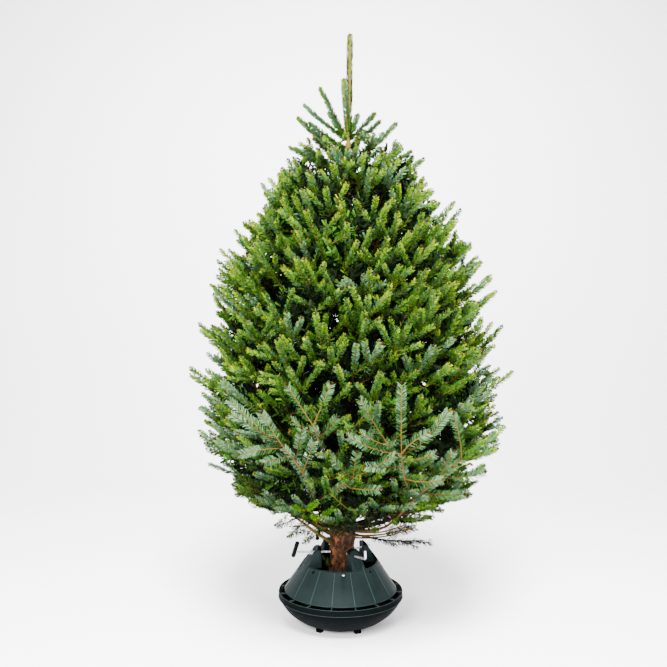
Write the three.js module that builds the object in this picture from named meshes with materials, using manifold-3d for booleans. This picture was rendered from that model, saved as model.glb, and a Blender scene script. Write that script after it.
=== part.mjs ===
// A cut fir as a Christmas tree, standing in its plastic water stand, at life size.
// Millimetres, +Z up. The origin is the middle of the stand's flat underside, and the front is -Y.
//
// The stand is a bowl, a ribbed cover with four towers, and four clamp screws that hold the trunk.
// The crown is built in tiers. Each tier is the space between two cones round the trunk, cut into
// equal sectors, and each sector holds one mass of foliage, so no mass can touch another.

import * as THREE from 'three';
import { mergeVertices } from 'three/addons/utils/BufferGeometryUtils.js';
import Module from 'manifold-3d';

const wasm = await Module();
wasm.setup();

// ---------------------------------------------------------------- driving sizes

const gap = 0.3;                    // between pieces that touch
const sliver = 0.05;                // finest edge left by a cut

// Trunk
const treeHeight = 2168;            // tip of the leader above the floor
const buttOffset = 3;               // the trunk stands a little to the right in its bowl
const leanAcross = 32;              // how far the tip is right of the butt
const trunkBend = 5;                // slow wave of the trunk to the back and front
const trunkFoot = 52;               // radius of the wood at the butt, without its flare
const trunkTop = 11;                // radius at the top whorl
const buttFlare = 7;
const buttFlareHeight = 60;
const topWhorl = 1768;              // height of the last whorl of shoots
const lowWhorl = 350;               // height of the lowest boughs
const whorlSwelling = 5;
const swellingHeight = 45;
const leaderFoot = 7.5;
const leaderTip = 5;
const leaderCollar = 12;            // height over which the trunk narrows to the leader
const trunkSides = 12;
const trunkRings = 15;

// Crown outline: an egg, widest low down
const crownFoot = 330;
const crownWaist = 820;             // height of its widest place
const crownTop = 1960;
const whorlReach = 165;             // radius of the open shoots round the top whorl
const whorlTop = 2010;
const crownRadius = 556;
const footRoundness = 2.2;
const topRoundness = 2.1;
const sideBias = 0.03;              // fuller to the right
const lowSideBias = 0.09;           // and more so near the foot
const lowBiasHeight = 600;
const lowBiasSpan = 200;

// Tiers from the foot up. floor and rise give the cone under a tier: height = floor + rise * radius.
// root is where its boughs leave the trunk, bough their length, turn the azimuth of its first mass,
// tilt the angle of its shoots above level, and rows the hands of shoots in each row of a mass.
const tiers = [
  {
    name: 'lowest', floor: 330, rise: 0.20, root: 338, bough: 110,
    masses: 6, turn: 10, tilt: 22, rows: [3, 3],
  },
  {
    name: 'low', floor: 430, rise: 0.30, root: 500, bough: 80,
    masses: 6, turn: 40, tilt: 36, rows: [3, 2, 2],
  },
  {
    name: 'middle', floor: 650, rise: 0.44, root: 720, bough: 70,
    masses: 6, turn: 20, tilt: 44, rows: [3, 2, 2],
  },
  {
    name: 'high', floor: 900, rise: 0.60, root: 980, bough: 0,
    masses: 5, turn: 54, tilt: 52, rows: [3, 2, 2],
  },
  {
    name: 'upper', floor: 1180, rise: 0.80, root: 1290, bough: 0,
    masses: 4, turn: 10, tilt: 58, rows: [3, 2, 2],
  },
  {
    name: 'top', floor: 1620, rise: 1.0, root: 1754, bough: 0,
    masses: 3, turn: 80, tilt: 62, rows: [],
  },
];
const cellMargin = 3;               // kept free at every side of a mass's space
const limbMargin = 8;               // kept free round the trunk and beyond a bough's end

// Boughs, stems and twigs
const boughFoot = 15;
const boughEnd = 9;
const boughSag = 0.06;              // how far a bough hangs, as a share of its length
const boughSides = 5;
const boughRings = 3;
const stemSides = 5;
const stemWaist = 8.1;
const stemEnd = 4;
const stemBend = 0.3;               // where a stem on the trunk bends, as a share of its length
const whorlStem = 5.4;
const twigFoot = 4;
const axisReach = 0.62;             // how far out a stem ends, as a share of the space
const guardHeight = 150;            // of the trunk kept clear above and below a root
const guardSwell = 1.03;

const lowBranch = { azimuth: -20, root: 330, tip: 322, reach: 310 };
const lowBranchRadii = [5, 4.5, 3.5, 2];
const lowBranchSag = 0.05;

// Shoots with their needles. They stand in hands of three on the end of a twig.
const shootLongest = 225;
const shootShortest = 70;
const shootLeast = 0.8;             // shortest that is wanted, as a share of the longest
const shootStep = 12;               // by which a shoot is cut back until it fits
const shootWidth = 0.32;            // of its length, needles and all
const shootWidest = 0.44;           // where it is widest, as a share of its length
const shootSplay = 44;              // angle between the shoots of one hand
const splayScatter = 10;
const headingScatter = 24;
const tiltScatter = 10;
const placeScatter = 0.3;
const forkReach = 0.5;              // of the shortest shoot, from the palm to a fork
const handRoll = 55;                // how far a hand may be turned about its own heading
const handThickness = 8;
const lowRowLift = 0.9;             // lower rows of hands point out flatter than the top row
const whorlPalm = 48;               // from the trunk's axis to the palm of a top whorl's hand
const whorlTilt = 35;
const palmSide = 0.1;               // free at each side of a mass, as a share of its width
const palmFloor = 0.14;             // lowest and highest palms, as shares of the space
const palmCeiling = 0.74;
const palmReach = 0.74;             // how far out the twigs end, as a share of the space
const lowestFoot = 0.35;            // where twigs leave the stem, as shares of its length
const highestFoot = 0.85;
const coreStart = 0.02;
const coreReach = 0.70;             // how far out the dark core goes
const coreSpan = 0.45;              // half of the space that it fills across and up
const coreSquareness = 0.55;        // 0 is round, 1 is a box

// Stand: the bowl
const rimRadius = 229;
const rimTop = 117;
const rimBand = 21;
const rimWall = 4;
const ledgeHeight = 110;
const ledgeRadius = 216;
const bowlShoulder = 222;
const shoulderDrop = 4;             // from the foot of the rim's band to the shoulder
const baseRadius = 100;
const bowlWall = 5;
const bowlRoundness = 1.5;          // 1 is a plain cone and 2 a quarter of an ellipse
const bowlSteps = 3;
const bowlSegments = 28;
const toeCount = 6;
const toeTurn = 236;
const toePlace = 135;
const toeWidth = 22;
const toeDepth = 14;
const toeHeight = 11.5;

// Stand: the cover, with its ribs and spokes
const coverFoot = 205;
const coverFootHeight = 122;
const coverMouth = 136;
const coverMouthHeight = 221;
const coverSkirt = 9;
const coverWall = 4;
const ribCount = 16;
const coverSegments = 2 * ribCount; // each rib is on the middle of a flat
const ribTurn = 261.1;
const ribWidth = 4;
const ribHeight = 2.5;
const ribSunk = 3;                  // how deep ribs and spokes are let into the cover
const ribShort = 6;
const spokeThickness = 4;
const spokeLift = 5.5;              // middle of a spoke above the ledge
const spokeClear = 2.5;
const slotTurns = [47, 137, 227, 317];
const slotSize = 8;
const slotHeight = 209;
const boltHeight = 209;
const boltRadius = 5;
const boltHead = 3;

// Stand: towers and clamp screws. A screw rises a little on its way out from the trunk.
const towers = [
  { place: 'back_right', turn: 21 },
  { place: 'back_left', turn: 119 },
  { place: 'left', turn: 201 },
  { place: 'front_right', turn: 299 },
];
const towerFootWidth = 56;
const towerTopWidth = 40;
const towerTop = 286;
const towerShoulder = 0.7;          // roundness of its top, 1 for a half circle
const towerCrown = 0.8;             // fullness of that curve, 1 for a square corner
const towerInner = 84;              // radius of its upright inner face
const towerRoot = 10;               // how far it goes down inside the mouth
const screwPivot = 100;
const screwHeight = 263;            // at that radius
const screwRise = 5.7;
const screwRadius = 4;
const screwSides = 8;
const screwHole = 4.8;
const screwTipClear = 2.5;          // the tips stop just short of the bark
const nutRadius = 8;
const nutPlace = 113;
const nutLength = 6;
const gripPlace = 177;
const gripLift = 9;                 // middle of a grip above its screw's axis
const gripRadius = 8;
const gripLength = 44;
const gripLean = 13;
const leverRadius = 3.6;
const longLever = { reach: 181, leg: 28, turn: 0 };
const shortLever = { reach: 122, leg: 26, turn: 90 };

// ---------------------------------------------------------------- materials

function finish(color, roughness, metalness = 0) {
  return new THREE.MeshStandardMaterial({ color, roughness, metalness });
}
const bark = finish(0x5b3d2b, 0.9);
const boughBark = finish(0x7a5236, 0.85);
const lowNeedles = finish(0x4f6640, 0.6);
const highNeedles = finish(0x62783a, 0.6);
const darkPlastic = finish(0x1f2a2b, 0.5);
const greyPlastic = finish(0x343f40, 0.45);
const steel = finish(0xb9bcbd, 0.3, 1);
const grip = finish(0x15181a, 0.55);

// ---------------------------------------------------------------- solids

// Indexed, closed and facing out: shared corners merged, empty triangles dropped.
function closed(geometry) {
  geometry.deleteAttribute('normal');
  geometry.deleteAttribute('uv');
  const merged = mergeVertices(geometry, 1e-3);
  const index = Array.from(merged.index.array);
  const kept = [];
  for (let i = 0; i < index.length; i += 3) {
    const [a, b, c] = index.slice(i, i + 3);
    if (a !== b && b !== c && c !== a) kept.push(a, b, c);
  }
  merged.setIndex(kept);
  if (signedVolume(merged) < 0) merged.setIndex(kept.reverse());
  return merged;
}

function signedVolume(geometry) {
  const place = geometry.attributes.position;
  const index = geometry.index.array;
  const corners = [new THREE.Vector3(), new THREE.Vector3(), new THREE.Vector3()];
  let volume = 0;
  for (let i = 0; i < index.length; i += 3) {
    corners.forEach((corner, k) => corner.fromBufferAttribute(place, index[i + k]));
    volume += corners[0].dot(corners[1].clone().cross(corners[2])) / 6;
  }
  return volume;
}

function toSolid(geometry, matrix = null) {
  const shape = closed(geometry);
  if (matrix) shape.applyMatrix4(matrix);
  return new wasm.Manifold(new wasm.Mesh({
    numProp: 3,
    vertProperties: Float32Array.from(shape.attributes.position.array),
    triVerts: Uint32Array.from(shape.index.array),
  }));
}

function toGeometry(solid) {
  const mesh = solid.getMesh();
  const geometry = new THREE.BufferGeometry();
  geometry.setAttribute('position', new THREE.BufferAttribute(mesh.vertProperties, 3));
  geometry.setIndex(new THREE.BufferAttribute(mesh.triVerts, 1));
  return geometry;
}

function fuse(solids) {
  return solids.reduce((whole, piece) => whole.add(piece));
}

// The outer skin of the largest body: loose scraps are dropped, sealed hollows filled, and
// slivers thinner than the tolerance merged away.
function wholeBody(solid) {
  const bodies = solid.decompose();
  bodies.sort((a, b) => b.volume() - a.volume());
  return bodies[0].simplify(sliver);
}

// A tapering limb through points, with a radius at each, closed by flat ends. The rings stand
// square to the limb, or level where it is told so.
function limb(points, radii, sides, level = false) {
  const vertices = [];
  const faces = [];
  points.forEach((point, i) => {
    const ahead = points[Math.min(i + 1, points.length - 1)];
    const behind = points[Math.max(i - 1, 0)];
    const frame = frameAlong(level ? upward : ahead.clone().sub(behind).normalize());
    for (let k = 0; k < sides; k += 1) {
      const angle = (2 * Math.PI * k) / sides;
      const ring = new THREE.Vector3(0, Math.cos(angle), Math.sin(angle));
      vertices.push(...ring.multiplyScalar(radii[i]).applyMatrix4(frame).add(point).toArray());
    }
  });
  for (let i = 0; i + 1 < points.length; i += 1) {
    for (let k = 0; k < sides; k += 1) {
      const here = i * sides + k;
      const next = i * sides + ((k + 1) % sides);
      faces.push(here, next, next + sides, here, next + sides, here + sides);
    }
  }
  const last = (points.length - 1) * sides;
  for (let k = 1; k + 1 < sides; k += 1) {
    faces.push(0, k + 1, k, last, last + k, last + k + 1);
  }
  return indexed(vertices, faces);
}

function indexed(vertices, faces) {
  const geometry = new THREE.BufferGeometry();
  geometry.setAttribute('position', new THREE.Float32BufferAttribute(vertices, 3));
  geometry.setIndex(faces);
  return geometry;
}

const upward = new THREE.Vector3(0, 0, 1);

// X runs along the direction, Y is level, and Z faces up as far as it can.
function frameAlong(direction) {
  const steep = Math.abs(direction.z) > 0.999;
  const helper = steep ? new THREE.Vector3(0, 1, 0) : upward;
  const side = new THREE.Vector3().crossVectors(helper, direction).normalize();
  const face = new THREE.Vector3().crossVectors(direction, side);
  return new THREE.Matrix4().makeBasis(direction, side, face);
}

// A hand of shoots on its twig: toothed blades that spread from a palm, thickest there, with sharp
// edges. The twig tapers from the palm back to its foot. Each shoot has its heading and length,
// and they come in order from one side to the other.
function handBlade(foot, palm, shoots) {
  const teeth = [[0.44, -1], [0.60, -0.45], [1, 0], [0.60, 0.45], [0.44, 1]];
  const ahead = palm.clone().sub(foot).normalize();
  const first = shoots[0].heading;
  const last = shoots[shoots.length - 1].heading;
  const normal = (shoots.length > 1 ? first.clone().cross(last) : first.clone().cross(upward)).normalize();
  const neck = normal.clone().cross(ahead).normalize().multiplyScalar(twigFoot);
  const wrist = palm.clone().addScaledVector(ahead, -twigFoot * 2);
  const outline = [foot, wrist.clone().sub(neck)];
  shoots.forEach((shoot, i) => {
    const side = normal.clone().cross(shoot.heading).normalize();
    if (i > 0) {
      const fork = shoot.heading.clone().add(shoots[i - 1].heading).normalize();
      outline.push(palm.clone().addScaledVector(fork, shootShortest * forkReach));
    }
    teeth.forEach(([along, out]) => {
      const tooth = palm.clone().addScaledVector(shoot.heading, along * shoot.length);
      outline.push(tooth.addScaledVector(side, (out * shootWidth * shoot.length) / 2));
    });
  });
  outline.push(wrist.clone().add(neck));
  const vertices = outline.flatMap((point) => point.toArray());
  [1, -1].forEach((face) => {
    vertices.push(...palm.clone().addScaledVector(normal, (face * handThickness) / 2).toArray());
  });
  const faces = [];
  const count = outline.length;
  for (let k = 0; k < count; k += 1) {
    const next = (k + 1) % count;
    faces.push(k, next, count, next, k, count + 1);
  }
  return indexed(vertices, faces);
}

function seededRandom(seed) {
  let state = seed;
  return () => {
    state = (state + 0x6d2b79f5) | 0;
    let mixed = Math.imul(state ^ (state >>> 15), 1 | state);
    mixed = (mixed + Math.imul(mixed ^ (mixed >>> 7), 61 | mixed)) ^ mixed;
    return ((mixed ^ (mixed >>> 14)) >>> 0) / 4294967296;
  };
}

// ---------------------------------------------------------------- the shape of the tree

function axisPoint(z) {
  const share = z / treeHeight;
  const bend = trunkBend * Math.sin(share * 3 * Math.PI);
  return new THREE.Vector3(buttOffset + leanAcross * share, bend, z);
}

function trunkRadius(z) {
  if (z > topWhorl) {
    const up = (z - topWhorl) / (treeHeight - topWhorl);
    return THREE.MathUtils.lerp(leaderFoot, leaderTip, up);
  }
  const wood = THREE.MathUtils.lerp(trunkFoot, trunkTop, z / topWhorl);
  const flare = buttFlare * Math.exp(-z / buttFlareHeight);
  const swelling = whorlSwelling * Math.exp(-(((z - lowWhorl) / swellingHeight) ** 2));
  return wood + flare + swelling;
}

// Radius of the crown's outline at a height, on the side that faces an azimuth.
function outlineRadius(z, azimuth) {
  let radius = 0;
  if (z > topWhorl) {
    const up = Math.min((z - topWhorl) / (whorlTop - topWhorl), 1);
    radius = whorlReach * (1 - up ** 3);
  } else if (z >= crownWaist) {
    const up = Math.min((z - crownWaist) / (crownTop - crownWaist), 1);
    radius = crownRadius * (1 - up ** topRoundness);
  } else {
    const down = Math.min((crownWaist - z) / (crownWaist - crownFoot), 1);
    radius = crownRadius * (1 - down ** footRoundness) ** (1 / footRoundness);
  }
  const low = THREE.MathUtils.clamp((lowBiasHeight - z) / lowBiasSpan, 0, 1);
  const bias = (sideBias + lowSideBias * low) * Math.cos(THREE.MathUtils.degToRad(azimuth));
  return radius * (1 + bias);
}

function crownPoint(azimuth, radius, z) {
  const turn = THREE.MathUtils.degToRad(azimuth);
  const across = new THREE.Vector3(Math.cos(turn), Math.sin(turn), 0);
  return axisPoint(z).addScaledVector(across, radius);
}

// A point's place in the crown: azimuth, radius and height about the leaning trunk.
function crownPlace(point) {
  const off = point.clone().sub(axisPoint(point.z));
  return {
    azimuth: THREE.MathUtils.radToDeg(Math.atan2(off.y, off.x)),
    radius: Math.hypot(off.x, off.y),
    z: point.z,
  };
}

function direction(azimuth, tilt) {
  const turn = THREE.MathUtils.degToRad(azimuth);
  const rise = THREE.MathUtils.degToRad(tilt);
  const level = Math.cos(rise);
  return new THREE.Vector3(level * Math.cos(turn), level * Math.sin(turn), Math.sin(rise));
}

// ---------------------------------------------------------------- the space of one mass

// A space is one sector of a tier. inner is the radius at which its foliage may begin.
function makeSpace(tier, ceiling, number) {
  const width = 360 / tier.masses;
  const azimuth = tier.turn + width * number;
  const space = { tier, ceiling, width, azimuth };
  space.inner = trunkRadius(tier.floor) + limbMargin + tier.bough;
  return space;
}

function ceilingAt(space, radius) {
  return space.ceiling ? space.ceiling.floor + space.ceiling.rise * radius : whorlTop;
}

// A point by its shares of the space: across 0 to 1, up 0 to 1, and out 0 to 1 at the outline.
function spacePoint(space, across, up, out) {
  const azimuth = space.azimuth + (across - 0.5) * space.width;
  const heightAt = (radius) => {
    const floor = space.tier.floor + space.tier.rise * radius;
    return THREE.MathUtils.lerp(floor, ceilingAt(space, radius), up);
  };
  let edge = crownRadius;
  for (let pass = 0; pass < 12; pass += 1) {
    edge = (edge + outlineRadius(heightAt(edge), azimuth)) / 2;
  }
  const radius = THREE.MathUtils.lerp(space.inner, edge, out);
  return crownPoint(azimuth, radius, heightAt(radius));
}

function insideSpace(space, point) {
  const place = crownPlace(point);
  const turned = ((place.azimuth - space.azimuth + 540 + 360) % 360) - 180;
  const edgeTurn = THREE.MathUtils.degToRad(space.width / 2 - Math.abs(turned));
  const toSide = edgeTurn > 0 ? place.radius * Math.sin(Math.min(edgeTurn, Math.PI / 2)) : -1;
  const floor = space.tier.floor + space.tier.rise * place.radius;
  return toSide > cellMargin
    && place.z > floor + cellMargin * 1.5
    && place.z < ceilingAt(space, place.radius) - cellMargin * 1.5
    && place.radius > Math.max(space.inner, trunkRadius(place.z) + limbMargin)
    && place.radius < outlineRadius(place.z, place.azimuth) * 1.02;
}

// ---------------------------------------------------------------- foliage

// Where a bough or a stem leaves the trunk, and the way it goes through its space.
function axisOfSpace(space) {
  return { from: axisPoint(space.tier.root), goal: spacePoint(space, 0.5, 0.5, axisReach) };
}

// A straight run that hangs a little, from one point to another.
function sagging(from, to, steps, sag) {
  const span = from.distanceTo(to);
  return Array.from({ length: steps }, (_, i) => {
    const share = i / (steps - 1);
    const point = from.clone().lerp(to, share);
    point.z -= sag * span * 4 * share * (1 - share);
    return point;
  });
}

function trunkGuard(z) {
  const lower = Math.max(z - guardHeight, 2 * bowlWall);
  const upper = z + guardHeight;
  const points = [lower, (lower + upper) / 2, upper].map(axisPoint);
  const radii = points.map((point) => trunkRadius(point.z) * guardSwell + gap);
  return toSolid(limb(points, radii, trunkSides * 2, true));
}

// The bough runs from the trunk to the place where its mass begins.
function boughSolid(space) {
  const { from, goal } = axisOfSpace(space);
  const course = goal.clone().sub(from).normalize();
  const length = (space.inner - limbMargin) / Math.hypot(course.x, course.y);
  const end = from.clone().addScaledVector(course, length);
  const points = sagging(from, end, boughRings, boughSag);
  const radii = points.map((_, i) => THREE.MathUtils.lerp(boughFoot, boughEnd, i / (boughRings - 1)));
  const whole = toSolid(limb(points, radii, boughSides));
  const tip = points[boughRings - 1];
  const heading = tip.clone().sub(points[boughRings - 2]).normalize();
  return { solid: wholeBody(whole.subtract(trunkGuard(from.z))), tip, heading };
}

// The dark heart of a mass: a rounded lump that fills the inner part of its space.
function coreSolid(space) {
  const ball = closed(new THREE.SphereGeometry(1, 8, 6));
  const place = ball.attributes.position;
  const spot = new THREE.Vector3();
  for (let i = 0; i < place.count; i += 1) {
    spot.fromBufferAttribute(place, i);
    const widest = Math.max(Math.abs(spot.x), Math.abs(spot.y), Math.abs(spot.z));
    spot.divideScalar(widest ** coreSquareness);
    const out = THREE.MathUtils.lerp(coreStart, coreReach, (spot.x + 1) / 2);
    const point = spacePoint(space, 0.5 + coreSpan * spot.y, 0.5 + coreSpan * spot.z, out);
    place.setXYZ(i, point.x, point.y, point.z);
  }
  return toSolid(ball);
}

// How long a shoot can be before it would leave its space, or 0 where it has no room.
function roomFor(space, palm, heading, wanted) {
  const side = heading.clone().cross(upward).normalize();
  for (let length = wanted; length >= shootShortest; length -= shootStep) {
    const half = (shootWidth * length) / 2;
    const corners = [[shootWidest, -half], [shootWidest, half], [1, 0]];
    const fits = corners.every(([along, out]) => {
      const corner = palm.clone().addScaledVector(heading, along * length);
      return insideSpace(space, corner.addScaledVector(side, out));
    });
    if (fits) return length;
  }
  return 0;
}

// A twig from its foot to a palm, with a hand of shoots on it that point up and out.
function handSolid(space, foot, palm, tilt, random) {
  const azimuth = crownPlace(palm).azimuth + (random() - 0.5) * headingScatter;
  const middle = direction(azimuth, tilt);
  const roll = THREE.MathUtils.degToRad((random() - 0.5) * 2 * handRoll);
  const spread = middle.clone().cross(upward).normalize().applyAxisAngle(middle, roll);
  const shoots = [];
  for (let side = -1; side <= 1; side += 1) {
    const splay = THREE.MathUtils.degToRad(-side * (shootSplay + (random() - 0.5) * splayScatter));
    const heading = middle.clone().multiplyScalar(Math.cos(splay));
    heading.addScaledVector(spread, -Math.sin(splay));
    const wanted = THREE.MathUtils.lerp(shootLeast, 1, random()) * shootLongest;
    const length = roomFor(space, palm, heading, wanted);
    if (length > 0) shoots.push({ heading, length });
  }
  if (shoots.length === 0) return null;
  return toSolid(handBlade(foot, palm, shoots));
}

// A mass on its stem. The stem begins at the bough's end, or at the trunk where there is no bough.
function massSolid(space, bough, random) {
  const { from, goal } = axisOfSpace(space);
  const start = bough ? bough.tip.clone().addScaledVector(bough.heading, gap) : from;
  const second = bough
    ? start.clone().addScaledVector(bough.heading, limbMargin * 2)
    : start.clone().lerp(goal, stemBend);
  const stem = limb([start, second, goal], [boughEnd, stemWaist, stemEnd], stemSides);
  const solids = [toSolid(stem)];
  solids.push(coreSolid(space));
  space.tier.rows.forEach((hands, row) => {
    for (let hand = 0; hand < hands; hand += 1) {
      const across = (hand + 0.5 + (random() - 0.5) * placeScatter) / hands;
      const up = (row + 0.5 + (random() - 0.5) * placeScatter) / space.tier.rows.length;
      const side = THREE.MathUtils.lerp(palmSide, 1 - palmSide, across);
      const height = THREE.MathUtils.lerp(palmFloor, palmCeiling, up);
      const palm = spacePoint(space, side, height, palmReach);
      const foot = second.clone().lerp(goal, THREE.MathUtils.lerp(lowestFoot, highestFoot, random()));
      const lift = (row + lowRowLift) / (space.tier.rows.length - 1 + lowRowLift);
      const tilt = space.tier.tilt * lift + (random() - 0.5) * tiltScatter;
      const spray = handSolid(space, foot, palm, tilt, random);
      if (spray) solids.push(spray);
    }
  });
  return finishMass(space, solids, bough);
}

function finishMass(space, solids, bough) {
  const whole = fuse(solids);
  const clear = bough ? whole : whole.subtract(trunkGuard(axisOfSpace(space).from.z));
  return wholeBody(clear);
}

// The top whorl: a short stem and one open hand of shoots, with no heart.
function whorlSolid(space, random) {
  const from = axisPoint(space.tier.root);
  const palm = from.clone().addScaledVector(direction(space.azimuth, whorlTilt), whorlPalm);
  const stem = toSolid(limb([from, palm], [whorlStem, twigFoot], stemSides));
  const hand = handSolid(space, from, palm, space.tier.tilt, random);
  return wholeBody(stem.add(hand).subtract(trunkGuard(topWhorl)));
}

// ---------------------------------------------------------------- trunk

// A thin bare branch below the crown, on the right.
function lowBranchSolid() {
  const from = axisPoint(lowBranch.root);
  const end = crownPoint(lowBranch.azimuth, lowBranch.reach, lowBranch.tip);
  const points = sagging(from, end, lowBranchRadii.length, lowBranchSag);
  const branch = toSolid(limb(points, lowBranchRadii, boughSides));
  return wholeBody(branch.subtract(trunkGuard(from.z)));
}

function trunkGeometry() {
  const butt = bowlWall + gap;
  const heights = Array.from({ length: trunkRings }, (_, i) => {
    return THREE.MathUtils.lerp(butt, treeHeight, i / (trunkRings - 1));
  });
  heights.push(lowWhorl, topWhorl, topWhorl + leaderCollar);
  heights.sort((a, b) => a - b);
  const points = heights.map(axisPoint);
  return limb(points, heights.map(trunkRadius), trunkSides, true);
}

// ---------------------------------------------------------------- stand

function lathe(profile, segments) {
  const points = profile.map(([radius, z]) => new THREE.Vector2(radius, z));
  const turned = new THREE.LatheGeometry(points, segments);
  return turned.rotateX(Math.PI / 2);
}

// The bowl's side from its flat base up to a shoulder, rounder or straighter by its roundness.
function bowlSide(shoulderRadius, base, shoulder) {
  return Array.from({ length: bowlSteps + 1 }, (_, i) => {
    const angle = (Math.PI / 2) * (i / bowlSteps);
    const out = Math.sin(angle) ** (2 / bowlRoundness);
    const down = Math.cos(angle) ** (2 / bowlRoundness);
    return [
      THREE.MathUtils.lerp(baseRadius, shoulderRadius, out),
      THREE.MathUtils.lerp(shoulder, base, down),
    ];
  });
}

function turnedBy(azimuth, x = 0, y = 0, z = 0) {
  const turn = new THREE.Matrix4().makeRotationZ(THREE.MathUtils.degToRad(azimuth));
  return turn.multiply(new THREE.Matrix4().makeTranslation(x, y, z));
}

function bowlGeometry() {
  const shoulder = rimTop - rimBand - shoulderDrop;
  const profile = [
    [0, 0], ...bowlSide(bowlShoulder, 0, shoulder),
    [rimRadius, rimTop - rimBand], [rimRadius, rimTop],
    [rimRadius - rimWall, rimTop], [rimRadius - rimWall, ledgeHeight], [ledgeRadius, ledgeHeight],
    ...bowlSide(ledgeRadius, bowlWall, shoulder).reverse(), [0, bowlWall],
  ];
  let bowl = toSolid(lathe(profile, bowlSegments));
  for (let k = 0; k < toeCount; k += 1) {
    const toe = new THREE.BoxGeometry(toeDepth, toeWidth, toeHeight);
    const spot = turnedBy(toeTurn + (360 / toeCount) * k, toePlace, 0, toeHeight / 2);
    bowl = bowl.add(toSolid(toe, spot));
  }
  return toGeometry(wholeBody(bowl));
}

const coverSlope = Math.atan2(coverMouthHeight - coverFootHeight, coverFoot - coverMouth);

function coverRadius(z) {
  return coverFoot - (z - coverFootHeight) / Math.tan(coverSlope);
}

// A frame on the cover's outer face: X level along it, Y up its slope, Z straight out of it.
function onCover(azimuth, z) {
  const tilt = new THREE.Matrix4().makeRotationX(coverSlope);
  const face = new THREE.Matrix4().makeRotationZ(Math.PI / 2).multiply(tilt);
  return turnedBy(azimuth, coverRadius(z), 0, z).multiply(face);
}

// A screw's own frame: X out along its axis, rising as it goes, with its zero over the middle.
function alongScrew(azimuth) {
  const rise = new THREE.Matrix4().makeRotationY(-THREE.MathUtils.degToRad(screwRise));
  const back = new THREE.Matrix4().makeTranslation(-screwPivot, 0, 0);
  return turnedBy(azimuth, screwPivot, 0, screwHeight).multiply(rise).multiply(back);
}

// A tower: upright inside, and flush with the cover's slope outside.
function towerSolid(azimuth) {
  const half = towerTopWidth / 2;
  const foot = coverMouthHeight - towerRoot;
  const shape = new THREE.Shape();
  shape.moveTo(-towerFootWidth / 2, foot);
  shape.lineTo(towerFootWidth / 2, foot);
  shape.lineTo(half, towerTop - half * towerShoulder);
  shape.quadraticCurveTo(half * towerCrown, towerTop, 0, towerTop);
  shape.quadraticCurveTo(-half * towerCrown, towerTop, -half, towerTop - half * towerShoulder);
  shape.closePath();
  const depth = coverRadius(foot) - towerInner;
  const body = new THREE.ExtrudeGeometry(shape, { depth, bevelEnabled: false, curveSegments: 3 });
  const upright = new THREE.Matrix4().makeBasis(
    new THREE.Vector3(0, 1, 0), new THREE.Vector3(0, 0, 1), new THREE.Vector3(1, 0, 0),
  );
  const spot = turnedBy(azimuth, towerInner).multiply(upright);
  const outside = new THREE.BoxGeometry(2 * towerFootWidth, 4 * towerFootWidth, depth);
  outside.translate(0, 0, depth / 2);
  const hole = new THREE.CylinderGeometry(screwHole, screwHole, 2 * screwPivot, screwSides);
  hole.rotateZ(Math.PI / 2).translate(screwPivot, 0, 0);
  return toSolid(body, spot)
    .subtract(toSolid(outside, onCover(azimuth, coverMouthHeight)))
    .subtract(toSolid(hole, alongScrew(azimuth)));
}

function coverGeometry() {
  const skirt = coverFootHeight - coverSkirt;
  const shell = [
    [coverFoot, skirt], [coverFoot, coverFootHeight], [coverMouth, coverMouthHeight],
    [coverMouth - coverWall, coverMouthHeight], [coverFoot - coverWall, coverFootHeight - 1],
    [coverFoot - coverWall, skirt], [coverFoot, skirt],
  ];
  const solids = [toSolid(lathe(shell, coverSegments), turnedBy(ribTurn + 180 / coverSegments))];
  const slant = (coverMouthHeight - coverFootHeight) / Math.sin(coverSlope);
  const spokeRoot = coverFoot - ribSunk;
  const reach = rimRadius - rimWall - spokeClear - spokeRoot;
  for (let k = 0; k < ribCount; k += 1) {
    const azimuth = ribTurn + (360 / ribCount) * k;
    const rib = new THREE.BoxGeometry(ribWidth, slant - ribShort, ribHeight + ribSunk);
    rib.translate(0, slant / 2, (ribHeight - ribSunk) / 2);
    solids.push(toSolid(rib, onCover(azimuth, coverFootHeight)));
    const spoke = new THREE.BoxGeometry(reach, ribWidth, spokeThickness);
    const spot = turnedBy(azimuth, spokeRoot + reach / 2, 0, ledgeHeight + spokeLift);
    solids.push(toSolid(spoke, spot));
  }
  towers.forEach(({ turn }) => solids.push(towerSolid(turn)));
  let cover = fuse(solids);
  slotTurns.forEach((azimuth) => {
    const slot = new THREE.BoxGeometry(slotSize, slotSize, 4 * coverWall);
    cover = cover.subtract(toSolid(slot, onCover(azimuth, slotHeight)));
  });
  return toGeometry(wholeBody(cover));
}

// A clamp screw from the trunk's bark out through its tower, in its own frame.
function screwSolid(azimuth, reach) {
  const lean = axisPoint(screwHeight);
  const turn = THREE.MathUtils.degToRad(azimuth);
  const shift = lean.x * Math.cos(turn) + lean.y * Math.sin(turn);
  const tip = trunkRadius(screwHeight) + shift + screwTipClear;
  const rod = new THREE.CylinderGeometry(screwRadius, screwRadius, reach - tip, screwSides);
  rod.rotateZ(Math.PI / 2).translate((reach + tip) / 2, 0, 0);
  return toSolid(rod);
}

function nutSolid() {
  const nut = new THREE.CylinderGeometry(nutRadius, nutRadius, nutLength, 6);
  nut.rotateZ(Math.PI / 2).translate(nutPlace + nutLength / 2, 0, 0);
  return toSolid(nut);
}

// The bent end of a screw that has lost its grip. turn is how far it has been wound round.
function leverSolid(lever) {
  const leg = new THREE.CylinderGeometry(leverRadius, leverRadius, lever.leg, screwSides);
  leg.rotateX(Math.PI / 2).translate(lever.reach - screwRadius, 0, lever.leg / 2);
  leg.rotateX(-THREE.MathUtils.degToRad(lever.turn));
  return toSolid(leg);
}

// ---------------------------------------------------------------- assembly

const tree = new THREE.Group();

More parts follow.
